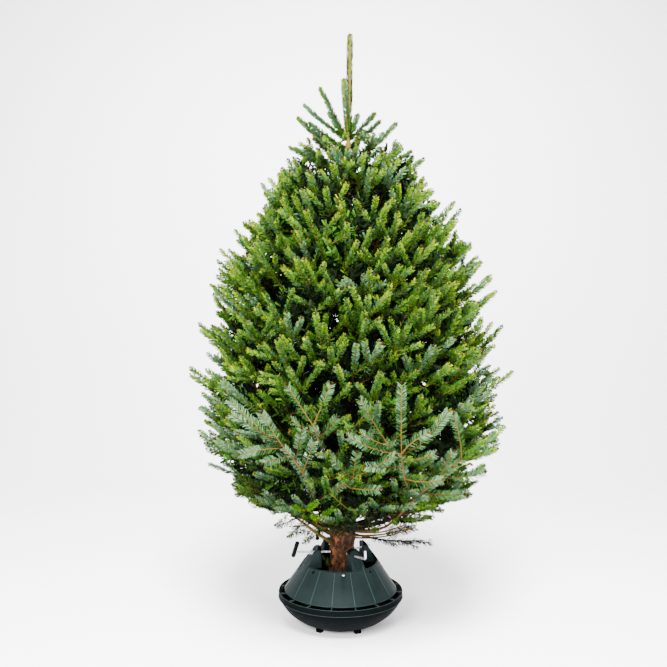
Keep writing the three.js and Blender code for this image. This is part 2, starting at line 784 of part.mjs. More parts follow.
function addPiece(parent, name, geometry, material) {
  const mesh = new THREE.Mesh(geometry, material);
  mesh.name = name;
  parent.add(mesh);
  return mesh;
}

function addStand() {
  const stand = new THREE.Group();
  addPiece(stand, 'stand_bowl', bowlGeometry(), darkPlastic);
  addPiece(stand, 'stand_cover', coverGeometry(), greyPlastic);
  const levers = { front_right: longLever, back_right: shortLever };
  towers.forEach(({ place, turn }) => {
    const arm = new THREE.Group();
    arm.applyMatrix4(alongScrew(turn));
    const lever = levers[place];
    const gripped = !lever;
    const reach = gripped ? gripPlace - gripRadius - 2 * gap : lever.reach;
    const rod = screwSolid(turn, reach);
    const screw = gripped ? rod.add(nutSolid()) : rod.add(leverSolid(lever));
    addPiece(arm, `clamp_screw_${place}`, toGeometry(screw), steel);
    if (gripped) {
      const handle = closed(new THREE.CapsuleGeometry(gripRadius, gripLength, 2, screwSides));
      handle.rotateX(Math.PI / 2);
      const piece = addPiece(arm, `screw_grip_${place}`, handle, grip);
      piece.rotation.y = -THREE.MathUtils.degToRad(gripLean);
      piece.position.set(gripPlace, 0, gripLift);
    }
    stand.add(arm);
  });
  const bolt = closed(new THREE.CylinderGeometry(boltRadius, boltRadius, boltHead, 6));
  bolt.rotateX(Math.PI / 2).translate(0, 0, boltHead / 2 + gap);
  const boltTurn = ribTurn + 180 / ribCount;
  addPiece(stand, 'cover_bolt', bolt.applyMatrix4(onCover(boltTurn, boltHeight)), steel);
  tree.add(stand);
}

function addCrown() {
  const random = seededRandom(4127);
  tiers.forEach((tier, level) => {
    const needles = level < 3 ? lowNeedles : highNeedles;
    for (let number = 0; number < tier.masses; number += 1) {
      const space = makeSpace(tier, tiers[level + 1], number);
      const tag = `${tier.name}_${number + 1}`;
      let mass = null;
      if (tier.rows.length === 0) {
        mass = whorlSolid(space, random);
      } else if (tier.bough > 0) {
        const bough = boughSolid(space);
        addPiece(tree, `bough_${tag}`, toGeometry(bough.solid), boughBark);
        mass = massSolid(space, bough, random);
      } else {
        mass = massSolid(space, null, random);
      }
      addPiece(tree, `foliage_${tag}`, toGeometry(mass), needles);
    }
  });
}

addPiece(tree, 'trunk', closed(trunkGeometry()), bark);
addStand();
addCrown();
addPiece(tree, 'branch_bare', toGeometry(lowBranchSolid()), boughBark);

export default tree;
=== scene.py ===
import math
from collections import namedtuple

import bpy
import numpy as np
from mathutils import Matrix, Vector, noise


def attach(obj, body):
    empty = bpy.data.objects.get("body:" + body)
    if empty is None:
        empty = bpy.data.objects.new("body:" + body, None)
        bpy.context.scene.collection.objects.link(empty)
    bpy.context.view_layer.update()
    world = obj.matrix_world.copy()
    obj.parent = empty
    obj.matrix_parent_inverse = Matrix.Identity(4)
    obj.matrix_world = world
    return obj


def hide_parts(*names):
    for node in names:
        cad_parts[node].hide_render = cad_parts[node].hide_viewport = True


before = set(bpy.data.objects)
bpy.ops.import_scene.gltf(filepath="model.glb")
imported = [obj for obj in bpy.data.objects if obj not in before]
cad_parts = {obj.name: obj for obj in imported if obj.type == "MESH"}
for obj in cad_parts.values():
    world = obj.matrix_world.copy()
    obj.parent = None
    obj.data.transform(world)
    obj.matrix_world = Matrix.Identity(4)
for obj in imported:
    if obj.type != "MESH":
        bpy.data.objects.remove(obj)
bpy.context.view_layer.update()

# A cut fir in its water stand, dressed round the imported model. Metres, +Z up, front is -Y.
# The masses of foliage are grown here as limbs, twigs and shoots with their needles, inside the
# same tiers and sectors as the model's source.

SEED = 4127                 # of every random draw and of the bark's noise
rng = np.random.default_rng(SEED)
noise.seed_set(SEED)
UP = np.array([0.0, 0.0, 1.0])

# ------------------------------------------------------------------ sizes of the tree

TREE_HEIGHT = 2.168
BUTT_OFFSET = 0.003
LEAN_ACROSS = 0.032
TRUNK_BEND = 0.005
BEND_HALF_WAVES = 3
TRUNK_FOOT = 0.052
TRUNK_TOP = 0.011
BUTT_FLARE = 0.007
BUTT_FLARE_HEIGHT = 0.060
BUTT_HEIGHT = 0.0053
TOP_WHORL = 1.768
LOW_WHORL = 0.350
WHORL_SWELLING = 0.005
SWELLING_HEIGHT = 0.045
LEADER_FOOT = 0.0075
LEADER_TIP = 0.005

CROWN_FOOT = 0.330
CROWN_WAIST = 0.820
CROWN_TOP = 1.960
WHORL_REACH = 0.165
WHORL_TOP = 2.010
CROWN_RADIUS = 0.556
FOOT_ROUNDNESS = 2.2
TOP_ROUNDNESS = 2.1
SIDE_BIAS = 0.03
LOW_SIDE_BIAS = 0.09
LOW_BIAS_HEIGHT = 0.600
LOW_BIAS_SPAN = 0.2
LIMB_MARGIN = 0.008

# Tiers from the foot up, as in the source: the cone under a tier, where its boughs leave the trunk,
# how many masses it has and the azimuth of the first. Then how far its limbs rise in degrees, the
# rows and columns of limbs in a mass, and the long shoots that stand out of each mass's outline.
Tier = namedtuple("Tier", "floor rise root masses turn climb rows columns edge_shoots")
TIERS = [
    Tier(0.330, 0.20, 0.338, 6, 10, 8, 1, 3, 0),        # lowest
    Tier(0.430, 0.30, 0.500, 6, 40, 16, 2, 2, 3),       # low
    Tier(0.650, 0.44, 0.720, 6, 20, 26, 2, 2, 9),       # middle
    Tier(0.900, 0.60, 0.980, 5, 54, 36, 3, 2, 18),      # high
    Tier(1.180, 0.80, 1.290, 4, 10, 45, 4, 2, 15),      # upper
    Tier(1.620, 1.00, 1.754, 3, 80, 55, 0, 0, 0),       # top, grown from TOP_SHOOTS alone
]
Mass = namedtuple("Mass", "tier ceiling azimuth width")

# Tilt of the shoots above level in degrees, by height.
TILT_HEIGHTS = [0.33, 0.45, 0.60, 0.80, 1.20, 1.60, 1.80]
TILT_DEGREES = [-4, 8, 22, 34, 40, 45, 54]

# ------------------------------------------------------------------ tree's own shape


def unit(vector):
    return vector / max(np.linalg.norm(vector), 1e-9)


def rows_unit(vectors):
    return vectors / np.maximum(np.linalg.norm(vectors, axis=1, keepdims=True), 1e-9)


def level_way(vector):
    """The way of a vector over the floor."""
    return unit(np.array([vector[0], vector[1], 0.0]))


def direction(azimuth, tilt):
    turn = math.radians(azimuth)
    rise = math.radians(tilt)
    level = math.cos(rise)
    return np.array([level * math.cos(turn), level * math.sin(turn), math.sin(rise)])


def axis_point(z):
    share = z / TREE_HEIGHT
    bend = TRUNK_BEND * math.sin(share * BEND_HALF_WAVES * math.pi)
    return np.array([BUTT_OFFSET + LEAN_ACROSS * share, bend, z])


def trunk_radius(z):
    if z > TOP_WHORL:
        up = (z - TOP_WHORL) / (TREE_HEIGHT - TOP_WHORL)
        return LEADER_FOOT + (LEADER_TIP - LEADER_FOOT) * up
    wood = TRUNK_FOOT + (TRUNK_TOP - TRUNK_FOOT) * z / TOP_WHORL
    flare = BUTT_FLARE * math.exp(-z / BUTT_FLARE_HEIGHT)
    return wood + flare + WHORL_SWELLING * math.exp(-(((z - LOW_WHORL) / SWELLING_HEIGHT) ** 2))


def outline_radius(z, azimuth):
    if z > TOP_WHORL:
        up = min((z - TOP_WHORL) / (WHORL_TOP - TOP_WHORL), 1)
        radius = WHORL_REACH * (1 - up ** 3)
    elif z >= CROWN_WAIST:
        up = min((z - CROWN_WAIST) / (CROWN_TOP - CROWN_WAIST), 1)
        radius = CROWN_RADIUS * (1 - up ** TOP_ROUNDNESS)
    else:
        down = min((CROWN_WAIST - z) / (CROWN_WAIST - CROWN_FOOT), 1)
        radius = CROWN_RADIUS * (1 - down ** FOOT_ROUNDNESS) ** (1 / FOOT_ROUNDNESS)
    low = min(max((LOW_BIAS_HEIGHT - z) / LOW_BIAS_SPAN, 0), 1)
    return radius * (1 + (SIDE_BIAS + LOW_SIDE_BIAS * low) * math.cos(math.radians(azimuth)))


def crown_point(azimuth, radius, z):
    turn = math.radians(azimuth)
    return axis_point(z) + radius * np.array([math.cos(turn), math.sin(turn), 0.0])


def crown_place(point):
    """A point's azimuth and radius in the crown."""
    off = point - axis_point(point[2])
    return math.degrees(math.atan2(off[1], off[0])), math.hypot(off[0], off[1])


def space_point(mass, azimuth, up, out):
    """A place in a mass by azimuth, share of its height and share of the way to the outline."""
    tier, ceiling = mass.tier, mass.ceiling

    def height_at(radius):
        floor = tier.floor + tier.rise * radius
        return floor + (ceiling.floor + ceiling.rise * radius - floor) * up

    edge = CROWN_RADIUS
    for _ in range(12):
        edge = (edge + outline_radius(height_at(edge), azimuth)) / 2
    inner = trunk_radius(tier.floor) + LIMB_MARGIN
    radius = inner + (edge - inner) * out
    return crown_point(azimuth, radius, height_at(radius))


# ------------------------------------------------------------------ joined meshes


class Batch:
    """Triangles gathered for one joined piece, with a value at each corner where one is given."""

    def __init__(self):
        self.points = []
        self.faces = []
        self.values = []
        self.count = 0

    def add(self, points, faces, value=0.0):
        self.points.append(np.asarray(points, np.float32))
        self.faces.append(np.asarray(faces, np.int32) + self.count)
        self.values.append(np.broadcast_to(np.float32(value), (len(points),)))
        self.count += len(points)

    def mesh(self, name, smooth=False, attribute=None):
        points = np.concatenate(self.points)
        faces = np.concatenate(self.faces)
        mesh = bpy.data.meshes.new(name)
        mesh.vertices.add(len(points))
        mesh.vertices.foreach_set("co", points.ravel())
        mesh.loops.add(faces.size)
        mesh.loops.foreach_set("vertex_index", faces.ravel())
        mesh.polygons.add(len(faces))
        mesh.polygons.foreach_set("loop_start", np.arange(len(faces), dtype=np.int32) * 3)
        mesh.polygons.foreach_set("use_smooth", np.full(len(faces), smooth))
        if attribute:
            set_values(mesh, attribute, np.concatenate(self.values))
        mesh.update()
        mesh.validate()
        return mesh


def set_values(mesh, name, values):
    layer = mesh.attributes.new(name, "FLOAT", "POINT")
    layer.data.foreach_set("value", values.astype(np.float32))


def new_object(name, data):
    made = bpy.data.objects.new(name, data)
    bpy.context.scene.collection.objects.link(made)
    return made


def dress(piece, material, stands_for):
    """Gives a piece its material, and its place in the frame."""
    piece.data.materials.clear()
    piece.data.materials.append(material)
    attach(piece, "root")
    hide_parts(*stands_for)


def grid_faces(rows, columns, closed=True):
    """Triangles of a tube of rings, or of an open sheet."""
    across = columns if closed else columns - 1
    row, column = np.meshgrid(np.arange(rows - 1), np.arange(across), indexing="ij")
    here = (row * columns + column).ravel()
    beside = (row * columns + (column + 1) % columns).ravel()
    return np.concatenate([
        np.stack([here, beside, beside + columns], 1),
        np.stack([here, beside + columns, here + columns], 1),
    ])


def fan(first, count, back=False):
    """Triangles that close a ring of corners, facing the way of its rings or back."""
    triangles = [[first, first + k, first + k + 1] for k in range(1, count - 1)]
    return np.array([[a, c, b] for a, b, c in triangles] if back else triangles)


def bar_faces(rows, sides, closed_foot=True):
    """Triangles of a tube of rings with a closed end, and a closed foot where it has one."""
    foot = [fan(0, sides, back=True)] if closed_foot else []
    return np.concatenate([grid_faces(rows, sides), *foot, fan((rows - 1) * sides, sides)])


def tube(path, radii, sides):
    """Points and faces of a tapering tube, its foot open and its end closed."""
    path = np.asarray(path, float)
    ahead = rows_unit(np.gradient(path, axis=0))
    upright = abs(unit(path[-1] - path[0])[2]) > 0.9
    side = rows_unit(np.cross(np.array([0.0, 1.0, 0.0]) if upright else UP, ahead))
    face = np.cross(ahead, side)
    angle = np.arange(sides) * 2 * math.pi / sides
    ring = (np.cos(angle)[None, :, None] * side[:, None] + np.sin(angle)[None, :, None] * face[:, None])
    points = path[:, None] + ring * np.asarray(radii, float).reshape(len(path), -1)[:, :, None]
    return points.reshape(-1, 3), bar_faces(len(path), sides, closed_foot=False)


def path_length(path):
    return np.linalg.norm(np.diff(path, axis=0), axis=1).sum()


def along_path(path, shares):
    """Points and headings at shares of a path's length."""
    steps = np.linalg.norm(np.diff(path, axis=0), axis=1)
    lengths = np.concatenate([[0], np.cumsum(steps)])
    slopes = rows_unit(np.gradient(path, axis=0))
    place = np.asarray(shares) * lengths[-1]
    points = np.stack([np.interp(place, lengths, path[:, k]) for k in range(3)], -1)
    heading = np.stack([np.interp(place, lengths, slopes[:, k]) for k in range(3)], -1)
    return points, rows_unit(np.atleast_2d(heading))


def curve(start, start_heading, end, end_heading, steps):
    """A smooth run between two places with the heading given at each."""
    span = np.linalg.norm(end - start)
    s = np.linspace(0, 1, steps + 1)[:, None]
    return ((2 * s ** 3 - 3 * s ** 2 + 1) * start + (s ** 3 - 2 * s ** 2 + s) * start_heading * span
            + (-2 * s ** 3 + 3 * s ** 2) * end + (s ** 3 - s ** 2) * end_heading * span)


# ------------------------------------------------------------------ needles and buds

TINTS = {
    "lime": (124, 136, 20),
    "fresh": (74, 110, 18),
    "green": (38, 70, 13),
    "deep": (8, 19, 5),
    "frost": (84, 112, 82),
    "silver": (50, 79, 50),
    "spring": (58, 104, 14),
}
WOODS = {"gold": (86, 64, 20), "russet": (58, 38, 15), "umber": (22, 14, 8)}
BUDS = {"bud_brown": (34, 22, 9), "bud_tan": (66, 50, 19)}

# Shares of the tints in a spray, from its lit upper side and its tips to its shaded underside.
PALETTES = {
    "bright": {"lime": 0.15, "fresh": 0.29, "silver": 0.12, "green": 0.34, "deep": 0.10},
    "leafy": {"lime": 0.07, "fresh": 0.25, "silver": 0.15, "green": 0.39, "deep": 0.14},
    "dark": {"fresh": 0.10, "green": 0.50, "deep": 0.40},
    "shade": {"green": 0.10, "deep": 0.90},
    "silvery": {"fresh": 0.16, "frost": 0.20, "silver": 0.30, "green": 0.22, "deep": 0.12},
    "glaucous": {"fresh": 0.08, "frost": 0.40, "silver": 0.26, "green": 0.14, "deep": 0.12},
    "crown": {"lime": 0.06, "fresh": 0.20, "frost": 0.05, "silver": 0.27, "green": 0.30, "deep": 0.12},
    "leader": {"lime": 0.06, "fresh": 0.22, "green": 0.37, "deep": 0.35},
    "tender": {"spring": 0.70, "lime": 0.20, "fresh": 0.10},
}

# How needles sit on a shoot: the least and most that they stand round from its open side in
# degrees, their angle to the shoot, their length, how far their faces turn to the light, how many
# grow on a metre, their width against NEEDLE_WIDTH, and how freely their tints mix.
Habit = namedtuple("Habit", "lowest highest lean length flat per_metre width mixed")
HABITS = {
    "brush": Habit(12, 176, 46, 0.0152, 0.30, 2220, 1.13, 0.28),
    "comb": Habit(58, 122, 54, 0.0195, 0.45, 1500, 0.62, 0.60),
    "twig": Habit(20, 170, 60, 0.0200, 0.40, 380, 1.4, 0.5),
    "shade": Habit(20, 170, 58, 0.0270, 0.40, 430, 3.0, 0.5),
    "leader": Habit(30, 150, 34, 0.0135, 0.20, 2800, 1.1, 0.9),
    "whorl": Habit(34, 150, 47, 0.0172, 0.30, 4400, 1.15, 0.30),
    "sparse": Habit(60, 175, 66, 0.0190, 0.30, 1000, 0.9, 0.5),
    "thin": Habit(60, 175, 62, 0.0180, 0.30, 1100, 0.9, 0.5),
}

NEEDLE_WIDTH = 0.0030
NEEDLE_FOOT = 0.62          # widths of a needle at its foot and at one side of its cut tip
NEEDLE_TIP = 0.86           # and at the other side, as shares of its full width
NEEDLE_SLANT = 0.09         # how far the cut tip slants back, as a share of the length
FEWEST_NEEDLES = 6
TURN_SCATTER = 7            # degrees
LEAN_SCATTER = 4
OPEN_SIDE = (0.8, 0.6)      # a shoot's open side: how much outward and how much up
LIT_SIDE = (0.75, 0.65)     # and the way that its needles' faces turn to

# Along a shoot, as shares of it. Its foot keeps fewer and shorter needles, and at its tip they are
# a little shorter and closer to it. Those on its open and under side are shorter than those beside.
FOOT_FULLNESS = 0.55
FOOT_SPAN = 0.12
FOOT_LENGTH, FOOT_GAIN = 0.72, 0.28
TIP_START, TIP_SPAN = 0.82, 0.18
TIP_CLOSING = 0.14
TIP_SHORTENING = 0.12
FACE_LENGTH, SIDE_GAIN = 0.82, 0.18
LENGTH_SCATTER = (0.92, 1.05)

# What moves a needle's tint from the lit end of its palette to the dark one.
UNDER_SHADE = 0.45
FOOT_SHADE = 0.70
LIT_SHARE = 0.14

BUD_LENGTH = 0.0124
BUD_RADIUS = 0.0038
BUD_LIFT = 0.66             # how far a bud stands off the shoot's end, as a share of its length
TAN_BUDS = 0.3              # share of the buds that are tan
SPINDLE = np.array([[0, 0, -0.5], [1, 0, -0.1], [-0.5, 0.87, 0], [-0.5, -0.87, 0], [0, 0, 0.5]])
SPINDLE_FACES = [[0, 2, 1], [0, 3, 2], [0, 1, 3], [4, 1, 2], [4, 2, 3], [4, 3, 1]]

SHOOT_LONGEST = 0.185
SHOOT_SHORTEST = 0.055
SHOOT_STEP = 0.008          # by which a shoot is cut back until it fits
SHOOT_RINGS = 4
SHOOT_RADIUS = 0.0018
SHOOT_TAPER = 0.62          # radius at a shoot's tip, as a share of its foot's
GOLD_SHOOTS = 0.7           # share of the shoots with golden stems, and of the twigs in russet
RUSSET_TWIGS = 0.7
TWIG_RADIUS = 0.0034
LIMB_SIDES = 7
KNOB_SPACING = 0.014        # along a limb
KNOB_SIZE = 0.05            # as a share of its radius

needles = {tint: Batch() for tint in TINTS}
wood = {name: Batch() for name in WOODS}
buds = {name: Batch() for name in BUDS}
boughs = Batch()


def needles_on(path, habit, palette, start=0.0, end=1.0, roll=0.0, thickness=SHOOT_RADIUS, size=1.0,
               lookout=None):
    """Flat needles of two triangles round a path, each with its own turn, lean and tint."""
    habit, palette = HABITS[habit], PALETTES[palette]
    count = int(path_length(path) * (end - start) * habit.per_metre)
    if count < FEWEST_NEEDLES:
        return
    shares = start + (end - start) * (np.arange(count) + rng.random(count)) / count
    shares = shares[rng.random(count) < FOOT_FULLNESS + (1 - FOOT_FULLNESS) * shares]
    count = len(shares)
    middle, ahead = along_path(path, shares)
    away = path.mean(0) - axis_point(path[:, 2].mean())
    away = unit(np.array([away[0], away[1], 1e-6]))
    lookout = away * OPEN_SIDE[0] + UP * OPEN_SIDE[1] if lookout is None else lookout
    upper = rows_unit(lookout - ahead * (ahead @ lookout)[:, None] + 1e-6)
    side = np.cross(ahead, upper)
    sign = np.where(rng.random(count) < 0.5, -1.0, 1.0)
    turn = habit.lowest + (habit.highest - habit.lowest) * rng.random(count)
    turn = np.radians(turn * sign + roll + rng.normal(0, TURN_SCATTER, count))
    out = np.cos(turn)[:, None] * upper + np.sin(turn)[:, None] * side
    tip_share = np.clip((shares - TIP_START) / TIP_SPAN, 0, 1)
    lean = np.radians(habit.lean * (1 - TIP_CLOSING * tip_share) + rng.normal(0, LEAN_SCATTER, count))
    course = rows_unit(np.cos(lean)[:, None] * ahead + np.sin(lean)[:, None] * out)
    spread = FACE_LENGTH + SIDE_GAIN * np.abs(np.sin(turn))
    foot_share = np.clip(shares / FOOT_SPAN, 0, 1)
    reach = (habit.length * size * spread * (FOOT_LENGTH + FOOT_GAIN * foot_share)
             * (1 - TIP_SHORTENING * tip_share))
    reach = reach * rng.uniform(*LENGTH_SCATTER, count)
    light = away * LIT_SIDE[0] + UP * LIT_SIDE[1]
    stray = rows_unit(rng.normal(0, 1, (count, 3)))
    face = habit.flat * (upper + light) * 0.6 + (1 - habit.flat) * stray
    across = rows_unit(np.cross(course, face))
    foot = middle + out * thickness * 0.6
    tip = foot + course * reach[:, None]
    half = NEEDLE_WIDTH / 2 * habit.width
    slant = course * (reach * NEEDLE_SLANT)[:, None]
    corners = np.stack([
        foot - across * half * NEEDLE_FOOT, foot + across * half * NEEDLE_FOOT,
        tip + across * half * NEEDLE_TIP - slant, tip - across * half * NEEDLE_FOOT,
    ], 1)
    under = np.abs((np.degrees(turn) + 180) % 360 - 180) / 180
    shade = under * UNDER_SHADE + (1 - shares) * FOOT_SHADE + rng.random(count) * habit.mixed - LIT_SHARE
    chosen = np.searchsorted(np.cumsum(list(palette.values())), np.clip(shade, 0, 0.9999))
    chosen = np.minimum(chosen, len(palette) - 1)
    for k, name in enumerate(palette):
        group = corners[chosen == k]
        if len(group):
            base = np.arange(len(group))[:, None] * 4
            faces = np.concatenate([base + [0, 1, 2], base + [0, 2, 3]])
            needles[name].add(group.reshape(-1, 3), faces)


def bud(place, heading, size):
    side = unit(np.cross(heading, [0.31, 0.52, 0.8]))
    face = np.cross(heading, side)
    body = SPINDLE[:, :1] * side * BUD_RADIUS + SPINDLE[:, 1:2] * face * BUD_RADIUS
    body = body + SPINDLE[:, 2:] * heading * BUD_LENGTH
    name = "bud_tan" if rng.random() < TAN_BUDS else "bud_brown"
    buds[name].add(place + body * size, SPINDLE_FACES)


def bud_cluster(path, size):
    """One bud at the end of a shoot, and often one on each side of it."""
    heading = unit(path[-1] - path[-2])
    tip = path[-1] + heading * BUD_LENGTH * BUD_LIFT
    bud(tip, heading, size * rng.uniform(0.9, 1.2))
    side = unit(np.cross(heading, rng.normal(0, 1, 3)))
    for turn in (side, -side):
        if rng.random() < 0.75:
            place = tip + turn * BUD_RADIUS * 0.9
            bud(place, unit(heading + turn * 0.7), size * rng.uniform(0.6, 0.85))


# ------------------------------------------------------------------ shoots, limbs and twigs


def shoot_path(base, heading, length, curl):
    """A shoot that bends towards upright, or towards a given way, as it goes."""
    shares = np.linspace(0, 1, SHOOT_RINGS)[:, None]
    bend = curl if isinstance(curl, np.ndarray) else UP * curl
    bend = bend - heading * np.dot(bend, heading)
    return base + heading * length * shares + bend * length * shares ** 2


def shoot(base, heading, length, palette, habit, curl=0.12, roll=0.0, size=1.0, bare=0.0,
          stem=SHOOT_RADIUS, lookout=None):
    """A shoot with its stem, needles and buds."""
    path = shoot_path(base, heading, length, curl)
    radii = np.linspace(stem, stem * SHOOT_TAPER, len(path))
    if habit == "shade":
        wood["umber"].add(*tube(path, radii, 3))
        needles_on(path, habit, palette)
        return path
    wood["gold" if rng.random() < GOLD_SHOOTS else "russet"].add(*tube(path, radii, 3))
    needles_on(path, habit, palette, start=bare, roll=roll, size=size, lookout=lookout)
    bud_cluster(path, size)
    return path


def shoot_to(base, tip, bend, palette, habit, **settings):
    """A shoot to a given tip. Its bend carries it aside, so its heading is set off against that."""
    span = np.array(tip) - base
    length = np.linalg.norm(span)
    start = span / length
    bend = bend - start * np.dot(bend, start)
    heading = unit(start - bend)
    if np.linalg.norm(bend) < 1e-6:
        bend = UP * 0.02
    return shoot(base, heading, length, palette, habit, curl=bend, **settings)


def room_along(base, heading, wanted, reach):
    """How long a shoot can be before it would leave a share of the crown's outline."""
    length = wanted
    while length > SHOOT_SHORTEST:
        tip = base + heading * length
        azimuth, radius = crown_place(tip)
        if radius < outline_radius(tip[2], azimuth) * reach and tip[2] > CROWN_FOOT - 0.02:
            return length
        length -= SHOOT_STEP
    return 0.0


def limb(path, foot, end, youth):
    """A bough with a knobbly skin. youth runs from old bark to the young golden one."""
    rings = max(int(path_length(path) / KNOB_SPACING), 3)
    fine, _ = along_path(path, np.linspace(0, 1, rings))
    radii = np.linspace(foot, end, rings)[:, None] * (1 + rng.normal(0, KNOB_SIZE, (rings, LIMB_SIDES)))
    points, faces = tube(fine, radii, LIMB_SIDES)
    boughs.add(points, faces, np.repeat(np.linspace(*youth, rings), LIMB_SIDES))


# Palettes of the outer sprays from a height up, each with the part of a draw that it ends at.
OUTER_PALETTES = [
    (1.62, {"crown": 0.62, "bright": 0.85, "leafy": 1}),
    (0.86, {"bright": 0.46, "leafy": 0.80, "dark": 0.92, "silvery": 1}),
    (0.52, {"silvery": 0.34, "leafy": 0.62, "bright": 0.76, "dark": 0.90, "glaucous": 1}),
    (-math.inf, {"dark": 0.52, "silvery": 0.66, "leafy": 0.88, "tender": 1}),
]
INNER_DEPTH = 0.66          # sprays nearer the trunk than this share of the radius take dark tints, painted shade of the crown's inside
HEART_DEPTH = 0.50
LIGHT_HEIGHT = 1.5          # above it light gets to the inner sprays


def spray_palette(z, depth):
    """Which tints a spray takes, by its height and how deep it sits; deep inside the crown they are dark,
    painted shade.
    """
    draw = rng.random()
    z = z + rng.normal(0, 0.09)
    if depth < HEART_DEPTH:
        return "shade" if z < LIGHT_HEIGHT else "dark"
    if depth < INNER_DEPTH:
        return "silvery" if z > LIGHT_HEIGHT else "shade" if draw < 0.35 else "dark"
    shares = next(shares for height, shares in OUTER_PALETTES if z > height)
    return next(name for name, ends_at in shares.items() if draw < ends_at)


FOUR_SHOOTS = 0.80          # a hand has four shoots above this draw, and two below the next one
TWO_SHOOTS = 0.16
WIDE_SPLAY = 1.7            # of the fourth shoot, against the others'
SIDE_LOSS = 0.20            # how much shorter a hand's outer shoots are, and the fourth one
WIDE_LOSS = 0.28
HAND_ROLL = 18              # scatter of a hand's turn about its twig, in degrees
HAND_OPENING = {"comb": (38, 50)}   # degrees between the shoots of a hand
HAND_OPENING_ELSE = (30, 44)
HIGH_REACHES = [0.87, 0.91, 0.95, 1.00]     # of the outline, which keeps it uneven
LOW_REACHES = [0.92, 0.96, 1.00]
REACHES_CHANGE = 1.0        # height between the two


def hand(palm, heading, palette, habit, longest, reach=1.0):
    """Shoots that spread from the end of a twig, the middle one longest."""
    draw = rng.random()
    splays = [0, -1, 1]
    if draw > FOUR_SHOOTS:
        splays = [0, -1, 1, WIDE_SPLAY * rng.choice([-1, 1])]
    elif draw < TWO_SHOOTS:
        splays = [0, rng.choice([-1, 1])]
    roll = rng.normal(0, HAND_ROLL)
    level = unit(np.cross(heading, UP) + 1e-6)
    lift = np.cross(level, heading)
    turn = math.radians(roll)
    spread = level * math.cos(turn) + lift * math.sin(turn)
    opening = rng.uniform(*HAND_OPENING.get(habit, HAND_OPENING_ELSE))
    reach = reach * rng.choice(HIGH_REACHES if palm[2] > REACHES_CHANGE else LOW_REACHES)
    for splay in splays:
        angle = math.radians(splay * opening + rng.normal(0, 4))
        course = unit(heading * math.cos(angle) + spread * math.sin(angle) + lift * rng.normal(0, 0.08))
        share = 1 - SIDE_LOSS * min(abs(splay), 1) - WIDE_LOSS * max(abs(splay) - 1, 0)
        wanted = longest * share * rng.uniform(0.72, 1.0)
        length = room_along(palm, course, wanted, reach)
        if length > 0:
            shoot(palm, course, length, palette, habit, curl=rng.uniform(0.0, 0.12), roll=roll * 0.4)


TWIG_BARE = 0.25            # share of a twig without needles, and where its own tints begin
TWIG_YOUNG = 0.72
OPEN_HEIGHT = 1.45          # the crown is open enough above it for its twigs to be green
SIDE_SHOOTS = (0.55, 0.78)  # shares of a twig where side shoots may start
SIDE_ROOM = 0.03            # and how much of the twig has to be left beyond them
PAIRS_SKIPPED = 0.55        # shares of those places without side shoots, and with one side bare
SIDES_SKIPPED = 0.35
SIDE_LENGTHS = (0.07, 0.12)


def twig_to(limb_course, palm, heading, palette, habit, side_shoots):
    """A twig from the nearest place behind on a limb to a palm, with needles and side shoots."""
    gaps = np.linalg.norm(limb_course - palm, axis=1)
    steps = np.linalg.norm(np.diff(limb_course, axis=0), axis=1)
    index = int(gaps.argmin())
    back = gaps[index] * 0.8
    while index > 1 and back > 0:
        back -= steps[index - 1]
        index -= 1
    start = limb_course[index]
    ahead = unit(limb_course[min(index + 1, len(limb_course) - 1)] - limb_course[max(index - 1, 0)])
    toward = unit(palm - start)
    path = curve(start, unit(ahead * 0.6 + toward), palm, unit(heading * 0.7 + toward), 5)
    length = path_length(path)
    radii = np.linspace(TWIG_RADIUS, SHOOT_RADIUS, len(path))
    wood["russet" if rng.random() < RUSSET_TWIGS else "umber"].add(*tube(path, radii, 3))
    # The older part of a twig, inside the crown, takes the shade or dark palette as painted shade, except
    # above OPEN_HEIGHT.
    inner = "shade" if palette in ("shade", "dark", "bright", "leafy") else "dark"
    inner = "leafy" if palm[2] > OPEN_HEIGHT else inner
    needles_on(path, "twig", inner, start=TWIG_BARE, end=TWIG_YOUNG)
    needles_on(path, "twig", palette, start=TWIG_YOUNG)
    if not side_shoots:
        return
    # Side shoots near a twig's foot take the dark palette: painted shade inside the crown.
    for share in SIDE_SHOOTS:
        if length * (1 - share) < SIDE_ROOM or rng.random() < PAIRS_SKIPPED:
            continue
        (place,), (course,) = along_path(path, [share])
        level = unit(np.cross(course, UP) + rng.normal(0, 0.25, 3))
        for sign in (-1, 1):
            if rng.random() < SIDES_SKIPPED:
                continue
            way = unit(course * 0.72 + level * sign * 0.7 + UP * rng.uniform(0, 0.25))
            reach = room_along(place, way, rng.uniform(*SIDE_LENGTHS), 0.98)
            if reach > 0:
                shoot(place, way, reach, "dark" if share < 0.6 else palette, habit, size=0.92)


# ------------------------------------------------------------------ crown

# Layers of twigs in a mass, from the outline in: the spacing of the twigs' ends, how deep they sit
# as shares of the way to the outline, how many are tried, and the longest shoot.
LAYERS = [
    (0.086, (0.64, 0.86), 260, SHOOT_LONGEST),
    (0.078, (0.46, 0.64), 90, 0.15),
    (0.078, (0.12, 0.42), 60, 0.15),
]
PALM_FOOT = 0.375           # lowest of the twigs' ends, and highest of the outer and inner ones
PALM_TOP = 1.63
INNER_PALM_TOP = 1.56
SIDE_SHOOT_DEPTH = 0.6      # shares of the way to the outline from which side shoots grow
OUTER_DEPTH = 0.64          # and from which hands fill the outline
INNER_REACH = 0.84          # of the outline, kept by the dark inner shoots
COMB_TOP = 0.84             # flat sprays grow below it, near the front and back
COMB_FACING = 0.93
COMB_SHARE = 0.4
THIN_TOP = 0.50             # inner twigs are thin below it
EDGE_LENGTHS = (0.12, 0.18)
EDGE_TOP = 1.71
EDGE_REACH = (0.99, 1.07)
LIMB_LOWEST = 0.336
BOUGH_DEPTH = 0.68          # where the source's bough ends, and the limbs beside it
LIMB_DEPTH = 0.72
